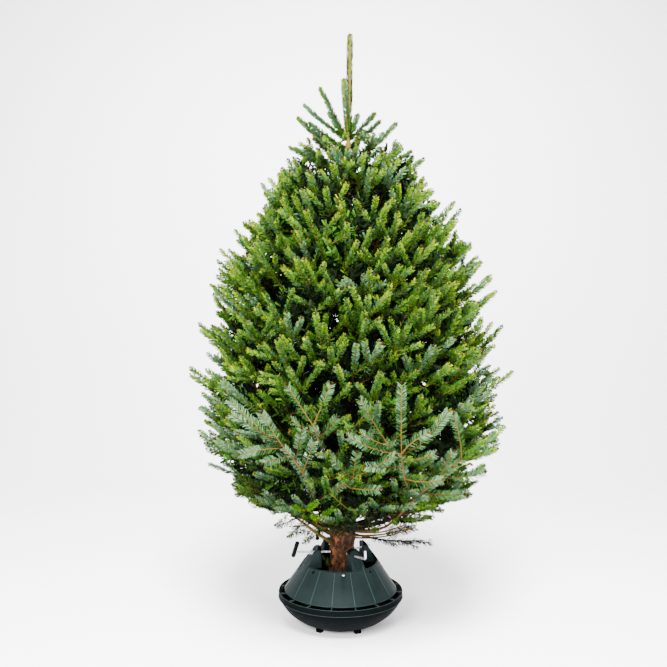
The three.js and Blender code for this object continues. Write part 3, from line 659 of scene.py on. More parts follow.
LIMB_SHARE = 0.72           # thickness of the limbs beside a bough, as a share of the bough's
LIMB_THICKEST = 0.0125      # radius of a limb's foot in the lowest tier, and in the upper ones
LIMB_THINNEST = 0.0055
HEART_FOOT = 0.41           # lowest and highest of the dark shoots round the trunk
HEART_TOP = 1.62
HEART_STEP = 0.035
HEART_LONGEST = 0.17
HEART_FOOT_TOP = 0.78       # below it the fourth ring of dark shoots grows as well
HEART_RINGS = [             # near and far as shares of the radius, and a step in degrees
    (0.06, 0.22, 72), (0.28, 0.46, 45), (0.50, 0.62, 30), (0.66, 0.80, 24),
]

taken = []                  # places already held by a palm or by a placed spray


def hold(points, clear):
    """Keeps the space outside of a placed spray free of others."""
    for point in points:
        taken.append(point + level_way(point) * clear)


def is_clear(point, spacing):
    return np.linalg.norm(np.asarray(taken) - point, axis=1).min() > spacing


def nearest_path(paths, place):
    return min(paths, key=lambda path: np.linalg.norm(path - place, axis=1).min())


def growing_way(turn, z, tilt_scatter, turn_scatter):
    """The way in which shoots grow at an azimuth and height."""
    tilt = np.interp(z, TILT_HEIGHTS, TILT_DEGREES) + rng.normal(0, tilt_scatter)
    return direction(turn + rng.normal(0, turn_scatter), tilt)


def limb_path(root_z, goal):
    start = axis_point(root_z)
    away = unit(goal - start)
    first = unit(away + level_way(away) * 0.25 - UP * 0.05)
    return curve(start, first, goal, unit(away + UP * 0.25), 12)


def mass_limbs(mass):
    """The limbs of one mass: the source's own bough or stem, and more beside and above it."""
    tier = mass.tier
    paths = [limb_path(tier.root, space_point(mass, mass.azimuth, 0.5, BOUGH_DEPTH))]
    for row in range(tier.rows):
        for column in range(tier.columns):
            up = (row + 0.5 + rng.uniform(-0.15, 0.15)) / tier.rows
            across = (column + 0.5 + rng.uniform(-0.12, 0.12)) / tier.columns
            goal = space_point(mass, mass.azimuth + (across - 0.5) * mass.width, up, LIMB_DEPTH)
            _, radius = crown_place(goal)
            root = goal[2] - radius * math.tan(math.radians(tier.climb))
            paths.append(limb_path(max(root, LIMB_LOWEST + 0.02 * rng.random()), goal))
    return paths


def grow_layer(mass, paths, spacing, depths, tries, longest):
    top = PALM_TOP if depths[1] > INNER_DEPTH else INNER_PALM_TOP
    for _ in range(tries):
        turn = mass.azimuth + (rng.random() - 0.5) * mass.width
        up = rng.random()
        depth = rng.uniform(*depths)
        palm = space_point(mass, turn, up, depth)
        if not PALM_FOOT < palm[2] < top or not is_clear(palm, spacing):
            continue
        taken.append(palm)
        heading = growing_way(turn, palm[2], 6, 10)
        palette = spray_palette(palm[2], depth)
        facing = abs(math.sin(math.radians(turn))) > COMB_FACING
        habit = "comb" if palm[2] < COMB_TOP and facing and rng.random() < COMB_SHARE else "brush"
        if depth < INNER_DEPTH:
            habit = "shade" if palm[2] > THIN_TOP else "thin"
        twig_to(nearest_path(paths, palm), palm, heading, palette, habit, depth > SIDE_SHOOT_DEPTH)
        reach = 1.0 if depth > OUTER_DEPTH else INNER_REACH
        hand(palm, heading, palette, habit, longest * rng.uniform(0.8, 1.0), reach)


def grow_edge(mass, paths):
    """Long straight shoots that stand out of the outline beside each other."""
    count = mass.tier.edge_shoots
    for number in range(count):
        turn = mass.azimuth + ((number + rng.random()) / count - 0.5) * mass.width
        tip = space_point(mass, turn, rng.random(), rng.uniform(*EDGE_REACH))
        heading = growing_way(turn, tip[2], 4, 7)
        length = rng.uniform(*EDGE_LENGTHS)
        base = tip - heading * length
        if tip[2] > EDGE_TOP:
            continue
        palette = spray_palette(tip[2], 0.8)
        twig_to(nearest_path(paths, base), base, heading, palette, "brush", False)
        shoot(base, heading, length, palette, "brush", curl=rng.uniform(0.0, 0.05))


def grow_heart():
    """Old shoots close round the trunk, their needles near-black as painted shade of the crown's inside,
    which close the crown to the sky behind.
    """
    for z in np.arange(HEART_FOOT, HEART_TOP, HEART_STEP):
        inner = trunk_radius(z)
        room = outline_radius(z, 0)
        for near, far, step in HEART_RINGS if z < HEART_FOOT_TOP else HEART_RINGS[:3]:
            for turn in np.arange(0, 360, step) + rng.uniform(0, step):
                start = crown_point(turn, inner + room * rng.uniform(near, far), z)
                heading = direction(turn + rng.normal(0, 40), rng.uniform(10, 65))
                wanted = min(room * 0.5, HEART_LONGEST) * rng.uniform(0.7, 1.0)
                length = room_along(start, heading, wanted, INNER_REACH)
                if length > 0:
                    shoot(start, heading, length, "shade", "shade", curl=0.1)


def grow_crown():
    for tier, ceiling in zip(TIERS, TIERS[1:]):
        thick = np.interp(tier.root, [0.33, 1.3], [LIMB_THICKEST, LIMB_THINNEST])
        for number in range(tier.masses):
            width = 360 / tier.masses
            mass = Mass(tier, ceiling, tier.turn + width * number, width)
            paths = mass_limbs(mass)
            for k, path in enumerate(paths):
                limb(path, thick if k == 0 else thick * LIMB_SHARE, TWIG_RADIUS, youth=(0.0, 0.3))
                end = unit(path[-1] - path[-2])
                hand(path[-1], end, spray_palette(path[-1][2], 0.7), "brush", SHOOT_LONGEST)
            grow_edge(mass, paths)
            for layer in LAYERS:
                grow_layer(mass, paths, *layer)


# ------------------------------------------------------------------ placed limbs on the front

PLACED_LOOKOUT = np.array([0.15, -0.85, 0.5])   # the side that the placed sprays lie open to
PLACED_SHOOT_RADIUS = 0.0024
BARE_FROM = 0.9             # a limb whose needles would start from here on has none
BARE_CLEARANCE = 0.11       # room kept outside of a bare limb, and of a placed shoot
SHOOT_CLEARANCE = 0.06

# Each limb has its course, its radii, and its shoots: the share of the course where each starts,
# its tip, and the way in which it bends on the way there.
Placed = namedtuple("Placed", "course foot end palette shoots needles_from")
PLACED = [
    # the long golden bough low on the right, and the fork that rises from it
    Placed([(0.045, -0.02, 0.335), (0.155, -0.20, 0.385), (0.232, -0.37, 0.530), (0.385, -0.37, 0.655)],
           0.0060, 0.0024, "silvery",
           [(1.0, (0.352, -0.42, 0.800), (-0.14, 0, 0)), (0.86, (0.455, -0.35, 0.610), (0, 0, 0.20)),
            (0.86, (0.345, -0.44, 0.690), (0.1, 0, 0)), (0.74, (0.385, -0.37, 0.545), (0, 0, 0.2))], 0.66),
    Placed([(0.365, -0.37, 0.642), (0.385, -0.37, 0.655)], 0.0024, 0.0022, "leafy",
           [(1.0, (0.540, -0.27, 0.745), (0, 0, 0.10)), (1.0, (0.510, -0.30, 0.678), (0, 0, 0.12)),
            (0.9, (0.480, -0.24, 0.700), (0, 0, 0.10))], 0.5),
    Placed([(0.232, -0.37, 0.530), (0.196, -0.44, 0.600), (0.182, -0.475, 0.690)],
           0.0036, 0.0024, "glaucous",
           [(1.0, (0.025, -0.55, 0.752), (0, 0, 0.28)), (1.0, (0.178, -0.53, 0.905), (0.02, 0, 0)),
            (1.0, (0.255, -0.52, 0.756), (0.22, 0, -0.2)), (0.97, (0.315, -0.46, 0.812), (-0.20, 0, 0.36)),
            (0.86, (0.283, -0.48, 0.690), (0, 0, 0.1)), (0.80, (0.075, -0.53, 0.662), (0, 0, 0.15)),
            (0.55, (0.300, -0.47, 0.610), (0, 0, 0.3))], 0.10),
    Placed([(0.190, -0.42, 0.640), (0.136, -0.50, 0.728)], 0.0026, 0.0022, "silvery",
           [(1.0, (0.055, -0.545, 0.862), (0.06, 0, 0)), (0.9, (0.060, -0.54, 0.760), (0, 0, 0.2))], 0.4),
    # the limb that crosses low on the left and ends right of the middle
    Placed([(-0.03, -0.03, 0.330), (-0.155, -0.17, 0.440), (-0.064, -0.34, 0.522), (0.034, -0.46, 0.612)],
           0.0056, 0.0024, "silvery",
           [(1.0, (0.157, -0.51, 0.690), (0, 0, 0.06)), (1.0, (0.044, -0.50, 0.695), (0, 0, 0)),
            (1.0, (-0.030, -0.51, 0.680), (0.05, 0, 0.1)), (0.9, (0.110, -0.49, 0.585), (0, 0, 0.2))], 0.62),
    # the big silver spray low on the left
    Placed([(-0.03, -0.05, 0.350), (-0.087, -0.30, 0.500), (-0.098, -0.42, 0.580), (-0.136, -0.475, 0.660),
            (-0.176, -0.50, 0.712)], 0.0050, 0.0024, "glaucous",
           [(1.0, (-0.340, -0.455, 0.806), (0, 0, -0.10)), (0.97, (-0.350, -0.43, 0.848), (0, 0, 0.04)),
            (1.0, (-0.240, -0.53, 0.818), (0.05, 0, 0)), (1.0, (-0.306, -0.49, 0.692), (0, 0, -0.16)),
            (0.94, (-0.230, -0.53, 0.672), (0, 0, -0.2)), (0.90, (-0.120, -0.55, 0.775), (0, 0, 0)),
            (0.82, (-0.085, -0.53, 0.735), (0, 0, 0.1))], 0.56),
    # the fork above it
    Placed([(-0.03, -0.25, 0.600), (-0.074, -0.49, 0.745), (-0.088, -0.51, 0.782)], 0.0042, 0.0024, "silvery",
           [(1.0, (-0.165, -0.52, 0.900), (0, 0, 0)), (1.0, (-0.033, -0.53, 0.905), (0, 0, 0)),
            (0.80, (-0.015, -0.54, 0.806), (0, 0, 0)), (0.86, (-0.150, -0.53, 0.800), (0, 0, 0.1))], 0.5),
    # two bare limbs low on the left, beside each other
    Placed([(-0.03, -0.03, 0.292), (-0.110, -0.10, 0.365), (-0.165, -0.16, 0.425), (-0.235, -0.21, 0.492)],
           0.0070, 0.0030, "dark",
           [(1.0, (-0.340, -0.27, 0.540), (0, 0, 0.1)), (0.9, (-0.30, -0.29, 0.50), (0, 0, 0.1))], 0.9),
    Placed([(-0.035, -0.01, 0.318), (-0.115, -0.07, 0.378), (-0.170, -0.12, 0.440), (-0.240, -0.16, 0.512)],
           0.0056, 0.0030, "dark",
           [(1.0, (-0.350, -0.22, 0.570), (0, 0, 0.1)), (0.9, (-0.33, -0.18, 0.53), (0, 0, 0.1))], 0.9),
    # thin old limbs low on the right, one over the other
    Placed([(0.03, -0.01, 0.318), (0.075, -0.04, 0.322), (0.150, -0.08, 0.336), (0.250, -0.12, 0.372)],
           0.0046, 0.0022, "shade", [], 0.62),
    Placed([(0.03, -0.01, 0.332), (0.080, -0.05, 0.337), (0.150, -0.10, 0.350), (0.230, -0.15, 0.392)],
           0.0042, 0.0020, "shade", [], 0.62),
    Placed([(0.03, 0.00, 0.306), (0.090, -0.02, 0.308), (0.170, -0.05, 0.322), (0.270, -0.07, 0.360)],
           0.0038, 0.0018, "shade", [], 0.55),
]

# Bright young tufts low on the front: where a hand starts, and the way that it points.
TENDER_HANDS = [
    ((-0.290, -0.270, 0.515), 228, 12), ((-0.235, -0.330, 0.500), 240, 2),
    ((-0.180, -0.350, 0.485), 252, -4), ((-0.130, -0.400, 0.545), 262, 8),
    ((-0.060, -0.400, 0.500), 258, 20), ((0.060, -0.330, 0.425), 284, -10),
    ((0.190, -0.320, 0.440), 312, 6), ((-0.330, -0.180, 0.530), 208, 8),
]
TENDER_LONGEST = 0.075

# Dull old twigs that hang under the crown on the left: where each starts, and the way that it points.
HANGING_TWIGS = [
    ((-0.060, -0.055, 0.352), 190, -40), ((-0.085, -0.075, 0.362), 215, -46),
    ((-0.110, -0.095, 0.372), 200, -30), ((-0.135, -0.115, 0.392), 225, -38),
    ((-0.160, -0.140, 0.410), 205, -24), ((-0.185, -0.165, 0.432), 232, -30),
    ((-0.070, -0.020, 0.350), 170, -28), ((-0.110, -0.060, 0.372), 178, -20),
]
HANGING_LENGTHS = (0.055, 0.075)


def smooth_course(corners):
    """A path through a few places, with its corners rounded."""
    corners = np.array(corners)
    shares = np.linspace(0, 1, len(corners))
    fine = np.linspace(0, 1, 16)
    path = np.stack([np.interp(fine, shares, corners[:, k]) for k in range(3)], 1)
    for _ in range(3):
        path[1:-1] = (path[:-2] + path[1:-1] + path[2:]) / 3
    return path


def grow_placed():
    for item in PLACED:
        path = smooth_course(item.course)
        limb(path, item.foot, item.end, youth=(0.35, 1.0))
        if item.needles_from < BARE_FROM:
            needles_on(path, "comb", item.palette, start=item.needles_from, thickness=item.end,
                       size=0.95, lookout=PLACED_LOOKOUT)
        else:
            hold(path[4::2], BARE_CLEARANCE)
        habit = "brush" if item.palette == "leafy" else "comb"
        for share, tip, bend in item.shoots:
            (base,), _ = along_path(path, [share])
            made = shoot_to(base, tip, np.array(bend, float), item.palette, habit,
                            roll=rng.normal(0, 12), size=1.02, stem=PLACED_SHOOT_RADIUS,
                            lookout=PLACED_LOOKOUT)
            hold(along_path(made, [0.1, 0.45, 0.8, 1.0])[0], SHOOT_CLEARANCE)


def grow_tender():
    for base, azimuth, tilt in TENDER_HANDS:
        taken.append(np.array(base))
        hand(np.array(base), direction(azimuth, tilt), "tender", "brush", TENDER_LONGEST)
    for base, azimuth, tilt in HANGING_TWIGS:
        length = rng.uniform(*HANGING_LENGTHS)
        shoot(np.array(base), direction(azimuth, tilt), length, "dark", "thin", curl=0.2)


# ------------------------------------------------------------------ open shoots round the top

# Start height on the trunk, then the tip, for each shoot of the top whorls.
TOP_SHOOTS = [
    (1.775, (0.012, -0.040, 1.978)), (1.772, (-0.072, -0.045, 1.946)), (1.770, (-0.131, 0.035, 1.910)),
    (1.765, (0.062, 0.045, 1.876)), (1.772, (0.120, -0.030, 1.859)), (1.740, (0.136, -0.060, 1.823)),
    (1.738, (-0.120, 0.060, 1.832)), (1.690, (-0.148, -0.070, 1.832)), (1.735, (-0.108, -0.020, 1.828)),
    (1.660, (-0.090, -0.100, 1.752)), (1.640, (-0.118, -0.125, 1.712)), (1.660, (0.062, -0.110, 1.745)),
    (1.670, (0.120, -0.100, 1.748)), (1.660, (0.196, -0.050, 1.816)), (1.600, (0.250, -0.030, 1.722)),
    (1.770, (-0.040, 0.110, 1.905)), (1.768, (0.030, 0.125, 1.880)), (1.735, (0.090, 0.110, 1.835)),
    (1.700, (-0.060, 0.150, 1.800)), (1.690, (0.020, 0.160, 1.790)), (1.660, (0.150, 0.110, 1.770)),
    (1.655, (-0.165, 0.090, 1.765)), (1.640, (-0.180, -0.020, 1.740)), (1.630, (0.205, 0.070, 1.735)),
]

TOP_SHOOT_RADIUS = 0.0036
TOP_BUDS = 1.5              # size of the buds at the ends of the top shoots
LEADER_LOOKOUT = np.array([0.3, -1.0, 0.1])
LEADER_THICKNESS = 0.010
LEADER_BUDS = [             # height and azimuth
    (1.90, 200), (1.93, 320), (1.955, 250), (2.03, 190), (2.06, 20), (2.10, 170), (2.125, 300),
]
LOW_BRANCH_ROOT = 0.330
LOW_BRANCH_END = (-20, 0.305, 0.322)        # azimuth, radius and height
LOW_BRANCH_SAG = 0.016
LOW_TWIGS = [(0.5, -45), (0.62, 0), (0.74, -50), (0.86, -5)]    # share of the branch, and azimuth
STUB_HEIGHT = 0.205
STUB_SHOOTS = [(215, 48, 0.050), (250, 40, 0.040)]              # azimuth, tilt and length


def grow_top():
    for start_z, tip in TOP_SHOOTS:
        base = axis_point(start_z)
        length = np.linalg.norm(np.array(tip) - base)
        path = shoot_to(base, tip, UP * rng.uniform(0.02, 0.10), "crown", "whorl",
                        bare=0.05, stem=TOP_SHOOT_RADIUS)
        bud_cluster(path, TOP_BUDS)
        taken.append(path[-1])
        if rng.random() < 0.35 and length > 0.12:
            (place,), (course,) = along_path(path, [0.62])
            bud(place + UP * 0.003, unit(course + rng.normal(0, 0.5, 3)), 0.9)
    grow_leader()


def grow_leader():
    """Needles close along the leader, darker low on it, and buds on its side and round its tip."""
    heights = np.linspace(TOP_WHORL + 0.02, TREE_HEIGHT - 0.012, 14)
    leader = np.array([axis_point(z) for z in heights])
    needles_on(leader, "leader", "leader", thickness=LEADER_THICKNESS, lookout=LEADER_LOOKOUT)
    needles_on(leader[4:7], "leader", "dark", thickness=LEADER_THICKNESS, size=1.15,
               lookout=LEADER_LOOKOUT)
    for z, turn in LEADER_BUDS:
        out = direction(turn, 40)
        bud(axis_point(z) + out * (trunk_radius(z) + 0.001), out, 0.8)
    tip = axis_point(TREE_HEIGHT - 0.008)
    for turn in range(0, 360, 60):
        way = direction(turn, 50)
        bud(tip + way * LEADER_TIP * 1.3 - UP * 0.002 * (turn % 120) / 60, way, 1.1)
    bud(tip + UP * 0.005, UP, 1.4)


def grow_low_branch():
    """The thin branch under the crown on the right, nearly bare, and a green stub in the stand."""
    start = axis_point(LOW_BRANCH_ROOT)
    end = crown_point(*LOW_BRANCH_END)
    s = np.linspace(0, 1, 12)[:, None]
    path = start + (end - start) * s - UP * LOW_BRANCH_SAG * np.sin(math.pi * s)
    limb(path, 0.0045, 0.0018, youth=(0.0, 0.3))
    needles_on(path, "sparse", "shade", start=0.35)
    for share, azimuth in LOW_TWIGS:
        (place,), _ = along_path(path, [share])
        twig = shoot_path(place, direction(azimuth, -6), 0.07, 0.05)
        wood["umber"].add(*tube(twig, np.linspace(0.0018, 0.001, len(twig)), 3))
        needles_on(twig, "thin", "shade")
    stub = axis_point(STUB_HEIGHT) + direction(205, 0) * 0.050
    for azimuth, tilt, length in STUB_SHOOTS:
        shoot(stub, direction(azimuth, tilt), length, "leafy", "comb", size=0.7)


grow_placed()
grow_tender()
grow_top()
grow_heart()
grow_crown()
grow_low_branch()

foliage_nodes = sorted(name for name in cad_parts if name.startswith("foliage_"))
bough_nodes = sorted(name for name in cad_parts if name.startswith("bough_")) + ["branch_bare"]

# ------------------------------------------------------------------ trunk

TRUNK_COLUMNS = 88
TRUNK_ROWS = [              # from and to which height, and the step: fine where the bark is seen
    (BUTT_HEIGHT, 0.42, 0.0032), (0.42, 1.68, 0.016), (1.68, TREE_HEIGHT, 0.005),
]
BARK_CELL = (0.014, 0.014, 0.027)   # a flake of bark across and up
BARK_DEPTH = 0.0075                 # of the relief at the foot of the trunk
DEPTH_HEIGHTS = [0.3, 0.6, 1.6, 1.8]
DEPTH_SHARES = [1.0, 0.6, 0.16, 0.06]
BARK_MEAN = 0.62                    # height of the relief that lies at the trunk's own radius
CRACK_WIDTH = 0.28
YOUNG_HEIGHTS = [1.55, 1.78]        # between them old bark gives way to young
DARK_FOOT_HEIGHTS = [0.125, 0.155]        # the bark is darker below them, inside the stand's cover
DARK_FOOT_TONE = 0.1


def bark_relief(place):
    """Height of the bark from 0 in a crack to 1 on a lifted flake, and the tone of the flake."""
    spot = Vector([place[k] / BARK_CELL[k] for k in range(3)])
    spot += noise.noise_vector(spot * 0.8) * 0.9
    gaps, centres = noise.voronoi(spot)
    crack = min((gaps[1] - gaps[0]) / CRACK_WIDTH, 1.0)
    tone = 0.5 + 0.5 * noise.cell(centres[0] * 3.1)
    lift = (spot - centres[0]).dot(noise.cell_vector(centres[0] * 1.7)) * 0.35
    fine = noise.fractal(spot * 3.0, 1.0, 2.1, 3) * 0.16
    return crack * (0.45 + 0.45 * tone + lift) + fine, tone


def trunk_mesh():
    heights = [*np.concatenate([np.arange(*rows) for rows in TRUNK_ROWS]), TREE_HEIGHT]
    points, relief, youth = [], [], []
    for z in heights:
        centre = axis_point(z)
        radius = trunk_radius(z)
        depth = BARK_DEPTH * np.interp(z, DEPTH_HEIGHTS, DEPTH_SHARES)
        foot_tone = np.interp(z, DARK_FOOT_HEIGHTS, [DARK_FOOT_TONE, 1.0])
        youth += [np.interp(z, YOUNG_HEIGHTS, [0.0, 1.0])] * TRUNK_COLUMNS
        for k in range(TRUNK_COLUMNS):
            turn = 2 * math.pi * k / TRUNK_COLUMNS
            out = np.array([math.cos(turn), math.sin(turn), 0.0])
            height, tone = bark_relief(centre + out * radius)
            points.append(centre + out * (radius + (height - BARK_MEAN) * depth))
            relief.append((height * 0.7 + tone * 0.3) * foot_tone)
    k = np.arange(TRUNK_COLUMNS)
    after = (k + 1) % TRUNK_COLUMNS
    upper = len(points) - TRUNK_COLUMNS
    faces = np.concatenate([
        grid_faces(len(heights), TRUNK_COLUMNS),
        np.stack([np.full_like(k, len(points)), after, k], 1),
        np.stack([np.full_like(k, len(points) + 1), upper + k, upper + after], 1),
    ])
    batch = Batch()
    batch.add(points + [axis_point(BUTT_HEIGHT), axis_point(TREE_HEIGHT)], faces)
    mesh = batch.mesh("trunk_bark_relief", smooth=True)
    set_values(mesh, "relief", np.array(relief + [0.8, 0.4]))
    set_values(mesh, "youth", np.array(youth + [0.0, 1.0]))
    return mesh


# ------------------------------------------------------------------ stand

TURNED_SIDES = 160
RIM_RADIUS = 0.229
RIM_TOP = 0.117
RIM_BAND = 0.021
RIM_WALL = 0.004
LEDGE_HEIGHT = 0.110
LEDGE_RADIUS = 0.216
BOWL_SHOULDER = 0.222
SHOULDER_DROP = 0.004
BASE_RADIUS = 0.100
BOWL_WALL = 0.005
BOWL_ROUNDNESS = 1.5
TOE_COUNT = 6
TOE_TURN = 236
TOE_PLACE = 0.135
TOE_WIDTH = 0.022
TOE_DEPTH = 0.014
TOE_HEIGHT = 0.0115
COVER_FOOT = 0.205
COVER_FOOT_HEIGHT = 0.122
COVER_MOUTH = 0.136
COVER_MOUTH_HEIGHT = 0.221
COVER_SKIRT = 0.004
COVER_WALL = 0.004
COVER_SLOPE = math.atan2(COVER_MOUTH_HEIGHT - COVER_FOOT_HEIGHT, COVER_FOOT - COVER_MOUTH)
COVER_SLANT = (COVER_MOUTH_HEIGHT - COVER_FOOT_HEIGHT) / math.sin(COVER_SLOPE)
RIB_COUNT = 16
RIB_TURN = 261.1
RIB_WIDTH = 0.0026
RIB_HEIGHT = 0.0016
SLOT_TURNS = (47, 137, 227, 317)
SLOT_SIZE = 0.0092
SLOT_HEIGHT = 0.209
SLIT_WIDTH = 0.0030
SEAM_TURNS = (186, 6)
BOLT_TURN = 273.5
BOLT_HEIGHT = 0.2115
BOLT_RADIUS = 0.005
TOWERS = {"back_right": 21, "back_left": 119, "left": 201, "front_right": 299}
TOWER_FOOT_WIDTH = 0.056
TOWER_TOP_WIDTH = 0.040
TOWER_TOP = 0.286
TOWER_SHOULDER = 0.7
TOWER_INNER = 0.084
TOWER_ROOT = 0.010
CAP_HEIGHT = 0.0055
SCREW_PIVOT = 0.100
SCREW_HEIGHT = 0.263
SCREW_RISE = math.radians(5.7)
SCREW_RADIUS = 0.004
SCREW_SIDES = 16
SCREW_TIP_CLEAR = 0.0025
SCREW_HOLE = 0.0048
THREAD_PITCH = 0.003
THREAD_DEPTH = 0.0008
THREAD_STEPS = 6
THREAD_END = 0.143
NUT_RADIUS = 0.008
NUT_PLACE = 0.113
NUT_LENGTH = 0.006
GRIP_PLACE = 0.177
GRIP_LIFT = 0.009
GRIP_RADIUS = 0.008
GRIP_LENGTH = 0.044
GRIP_LEAN = math.radians(13)
LEVER_BEND = 0.0075

# Roundings: steps in from the bowl's rim and out from the cover's mouth, and up.
AXIS_GAP = 0.0005           # the profile of the bowl ends this far from the axis
LIP = 0.0012
BAND_STEPS = [(0.0012, -0.0022), (0.0, -0.001), (0.0, 0.0015), (0.0012, 0.003)]
RIM_STEPS = [(0.0006, -0.0025), (0.0012, -0.0006), (0.002, 0.0), (RIM_WALL, -0.0006)]
MOUTH_STEPS = [(0.004, -0.0057), (0.0044, -0.003), (0.001, 0.0), (-COVER_WALL, 0.0)]
EDGE_THICKNESS = 0.0006

CUT_SPAN = (-0.012, 0.012)
SLOT_SINK = 0.003
SLIT_SPAN = (0.002, 0.030)
SEAT_RADIUS = 0.0075
SEAT_SPAN = (-0.003, 0.006)
SEAT_SINK = 0.0018
HOLE_SPAN = (0.060, 0.180)
BOLT_RINGS = [(1.0, 0.0), (1.0, 0.0012), (0.9, 0.0022), (0.6, 0.0030), (0.15, 0.0033)]

TOWER_SPREAD = 12           # degrees from a tower's middle within which a rib runs up on it
RIB_SHORT = 0.004           # how far short of the mouth the others end
RIB_OVER = 0.010
SPOKE_FOOT = 0.0035
SPOKE_TOP = 0.0075
PANEL_HALF = 0.0105
PANEL_FOOT = 0.017
PANEL_TOP = 0.036
PANEL_LINE = 0.0007
CAP_LIFT = 0.0006
CAP_SWELL = 0.0012
GRIP_GAP = 0.0006
GRIP_RIDGE = 0.0003
GRIP_PITCH = 0.0045

# A seam's two lines, near-black strips of painted shade in its gaps, its bar and its hook: width, foot,
# top and middle on the cover's slope, and from how deep in it to how far out.
SEAM_BLOCKS = [
    ((0.0026, 0.002, 0.104, -0.0045), -0.001, 0.0007),
    ((0.0026, 0.002, 0.104, 0.0045), -0.001, 0.0007),
    ((0.0170, 0.086, 0.090, -0.0025), -0.001, 0.0030),
    ((0.0110, 0.098, 0.152, 0.0), -0.0045, 0.0028),
]

# The bare ends of two screws: how far out they reach, the length of the bent leg, and how far the
# screw has been wound round.
Lever = namedtuple("Lever", "reach leg turn")
LEVERS = {"front_right": Lever(0.181, 0.028, 0), "back_right": Lever(0.122, 0.026, 90)}


def turned(points, azimuth, height=0.0):
    """Points given as radial, sideways and up, turned to an azimuth."""
    radial, side, up = np.asarray(points, float).T
    turn = math.radians(azimuth)
    return np.stack([radial * math.cos(turn) - side * math.sin(turn),
                     radial * math.sin(turn) + side * math.cos(turn), up + height], 1)


def cover_radius(z):
    return COVER_FOOT - (z - COVER_FOOT_HEIGHT) / math.tan(COVER_SLOPE)


def on_cover(points, azimuth, z):
    """Points given as sideways, up the cover's slope and straight out of it."""
    side, up, out = np.asarray(points, float).T
    radial = cover_radius(z) - up * math.cos(COVER_SLOPE) + out * math.sin(COVER_SLOPE)
    height = z + up * math.sin(COVER_SLOPE) + out * math.cos(COVER_SLOPE)
    return turned(np.stack([radial, side, height], 1), azimuth)


def along_screw(points, azimuth):
    """Points given as out along a screw, sideways and up from it."""
    out, side, up = np.asarray(points, float).T
    out = out - SCREW_PIVOT
    radial = SCREW_PIVOT + out * math.cos(SCREW_RISE) - up * math.sin(SCREW_RISE)
    height = out * math.sin(SCREW_RISE) + up * math.cos(SCREW_RISE)
    return turned(np.stack([radial, side, height], 1), azimuth, SCREW_HEIGHT)


def at_turn(azimuth):
    """Puts points given as sideways, radial and up in their place."""
    return lambda points: turned(points[:, [1, 0, 2]], azimuth)


def at_cover(azimuth, z=COVER_FOOT_HEIGHT):
    return lambda points: on_cover(points, azimuth, z)


def at_screw(azimuth):
    """Puts points given as sideways, up and out along a screw in their place."""
    return lambda points: along_screw(points[:, [2, 0, 1]], azimuth)


def turned_mesh(batch, profile):
    """A closed profile of radius and height, turned round the stand's axis."""
    profile = np.array(profile, float)
    turn = np.arange(TURNED_SIDES) * 2 * math.pi / TURNED_SIDES
    points = np.stack([
        profile[:, None, 0] * np.cos(turn), profile[:, None, 0] * np.sin(turn),
        np.broadcast_to(profile[:, None, 1], (len(profile), TURNED_SIDES)),
    ], 2)
    batch.add(points.reshape(-1, 3), grid_faces(len(profile), TURNED_SIDES))


def prism(batch, outline, low, high, placing):
    """A convex outline raised between two levels, and put in its place."""
    count = len(outline)
    ends = [np.column_stack([outline, np.full(count, level)]) for level in (low, high)]
    batch.add(placing(np.concatenate(ends)), bar_faces(2, count))


def block(width, foot, top, middle=0.0):
    left, right = middle - width / 2, middle + width / 2
    return [(left, foot), (right, foot), (right, top), (left, top)]


def arc(centre, radius, start, end, steps):
    turns = np.radians(np.linspace(start, end, steps + 1))
    return [(centre[0] + radius * math.cos(t), centre[1] + radius * math.sin(t)) for t in turns]


def circle(radius, sides=20):
    turns = np.linspace(0, 2 * math.pi, sides, endpoint=False)
    return [(radius * math.cos(t), radius * math.sin(t)) for t in turns]


def round_edges(piece, width, sharp, harden):
    rounding = piece.modifiers.new("rounding", "BEVEL")
    rounding.width = width
    rounding.segments = 2
    rounding.limit_method = "ANGLE"
    rounding.angle_limit = math.radians(sharp)
    rounding.harden_normals = harden


def stand_part(batch, name, bevel=0.0, sharp=32):
    """A part of the stand as a smooth mesh, its sharp edges rounded a little where asked."""
    piece = new_object(name, batch.mesh(name, smooth=True))
    if bevel:
        round_edges(piece, bevel, sharp, harden=True)
    return piece


def bowl_side(radius, base, shoulder):
    """The bowl's side from its flat base up to a shoulder."""
    angle = np.radians(np.linspace(0, 90, 19))
    out = np.sin(angle) ** (2 / BOWL_ROUNDNESS)
    down = np.cos(angle) ** (2 / BOWL_ROUNDNESS)
    return [(BASE_RADIUS + (radius - BASE_RADIUS) * o, shoulder + (base - shoulder) * d)
            for o, d in zip(out, down)]


def bowl_mesh():
    batch = Batch()
    band = RIM_TOP - RIM_BAND
    shoulder = band - SHOULDER_DROP
    profile = [(AXIS_GAP, 0.0)] + bowl_side(BOWL_SHOULDER, 0.0, shoulder)
    profile += [(BOWL_SHOULDER + LIP, band + BAND_STEPS[0][1])]
    profile += [(RIM_RADIUS - inset, band + up) for inset, up in BAND_STEPS]
    profile += [(RIM_RADIUS - inset, RIM_TOP + up) for inset, up in RIM_STEPS]
    profile += [(RIM_RADIUS - RIM_WALL, LEDGE_HEIGHT), (LEDGE_RADIUS, LEDGE_HEIGHT)]
    profile += bowl_side(LEDGE_RADIUS, BOWL_WALL, shoulder)[::-1] + [(AXIS_GAP, BOWL_WALL)]
    turned_mesh(batch, profile)
    toe = block(TOE_WIDTH, TOE_PLACE - TOE_DEPTH / 2, TOE_PLACE + TOE_DEPTH / 2)
    for k in range(TOE_COUNT):
        prism(batch, toe, 0.0, TOE_HEIGHT, at_turn(TOE_TURN + 360 / TOE_COUNT * k))
    return stand_part(batch, "bowl")


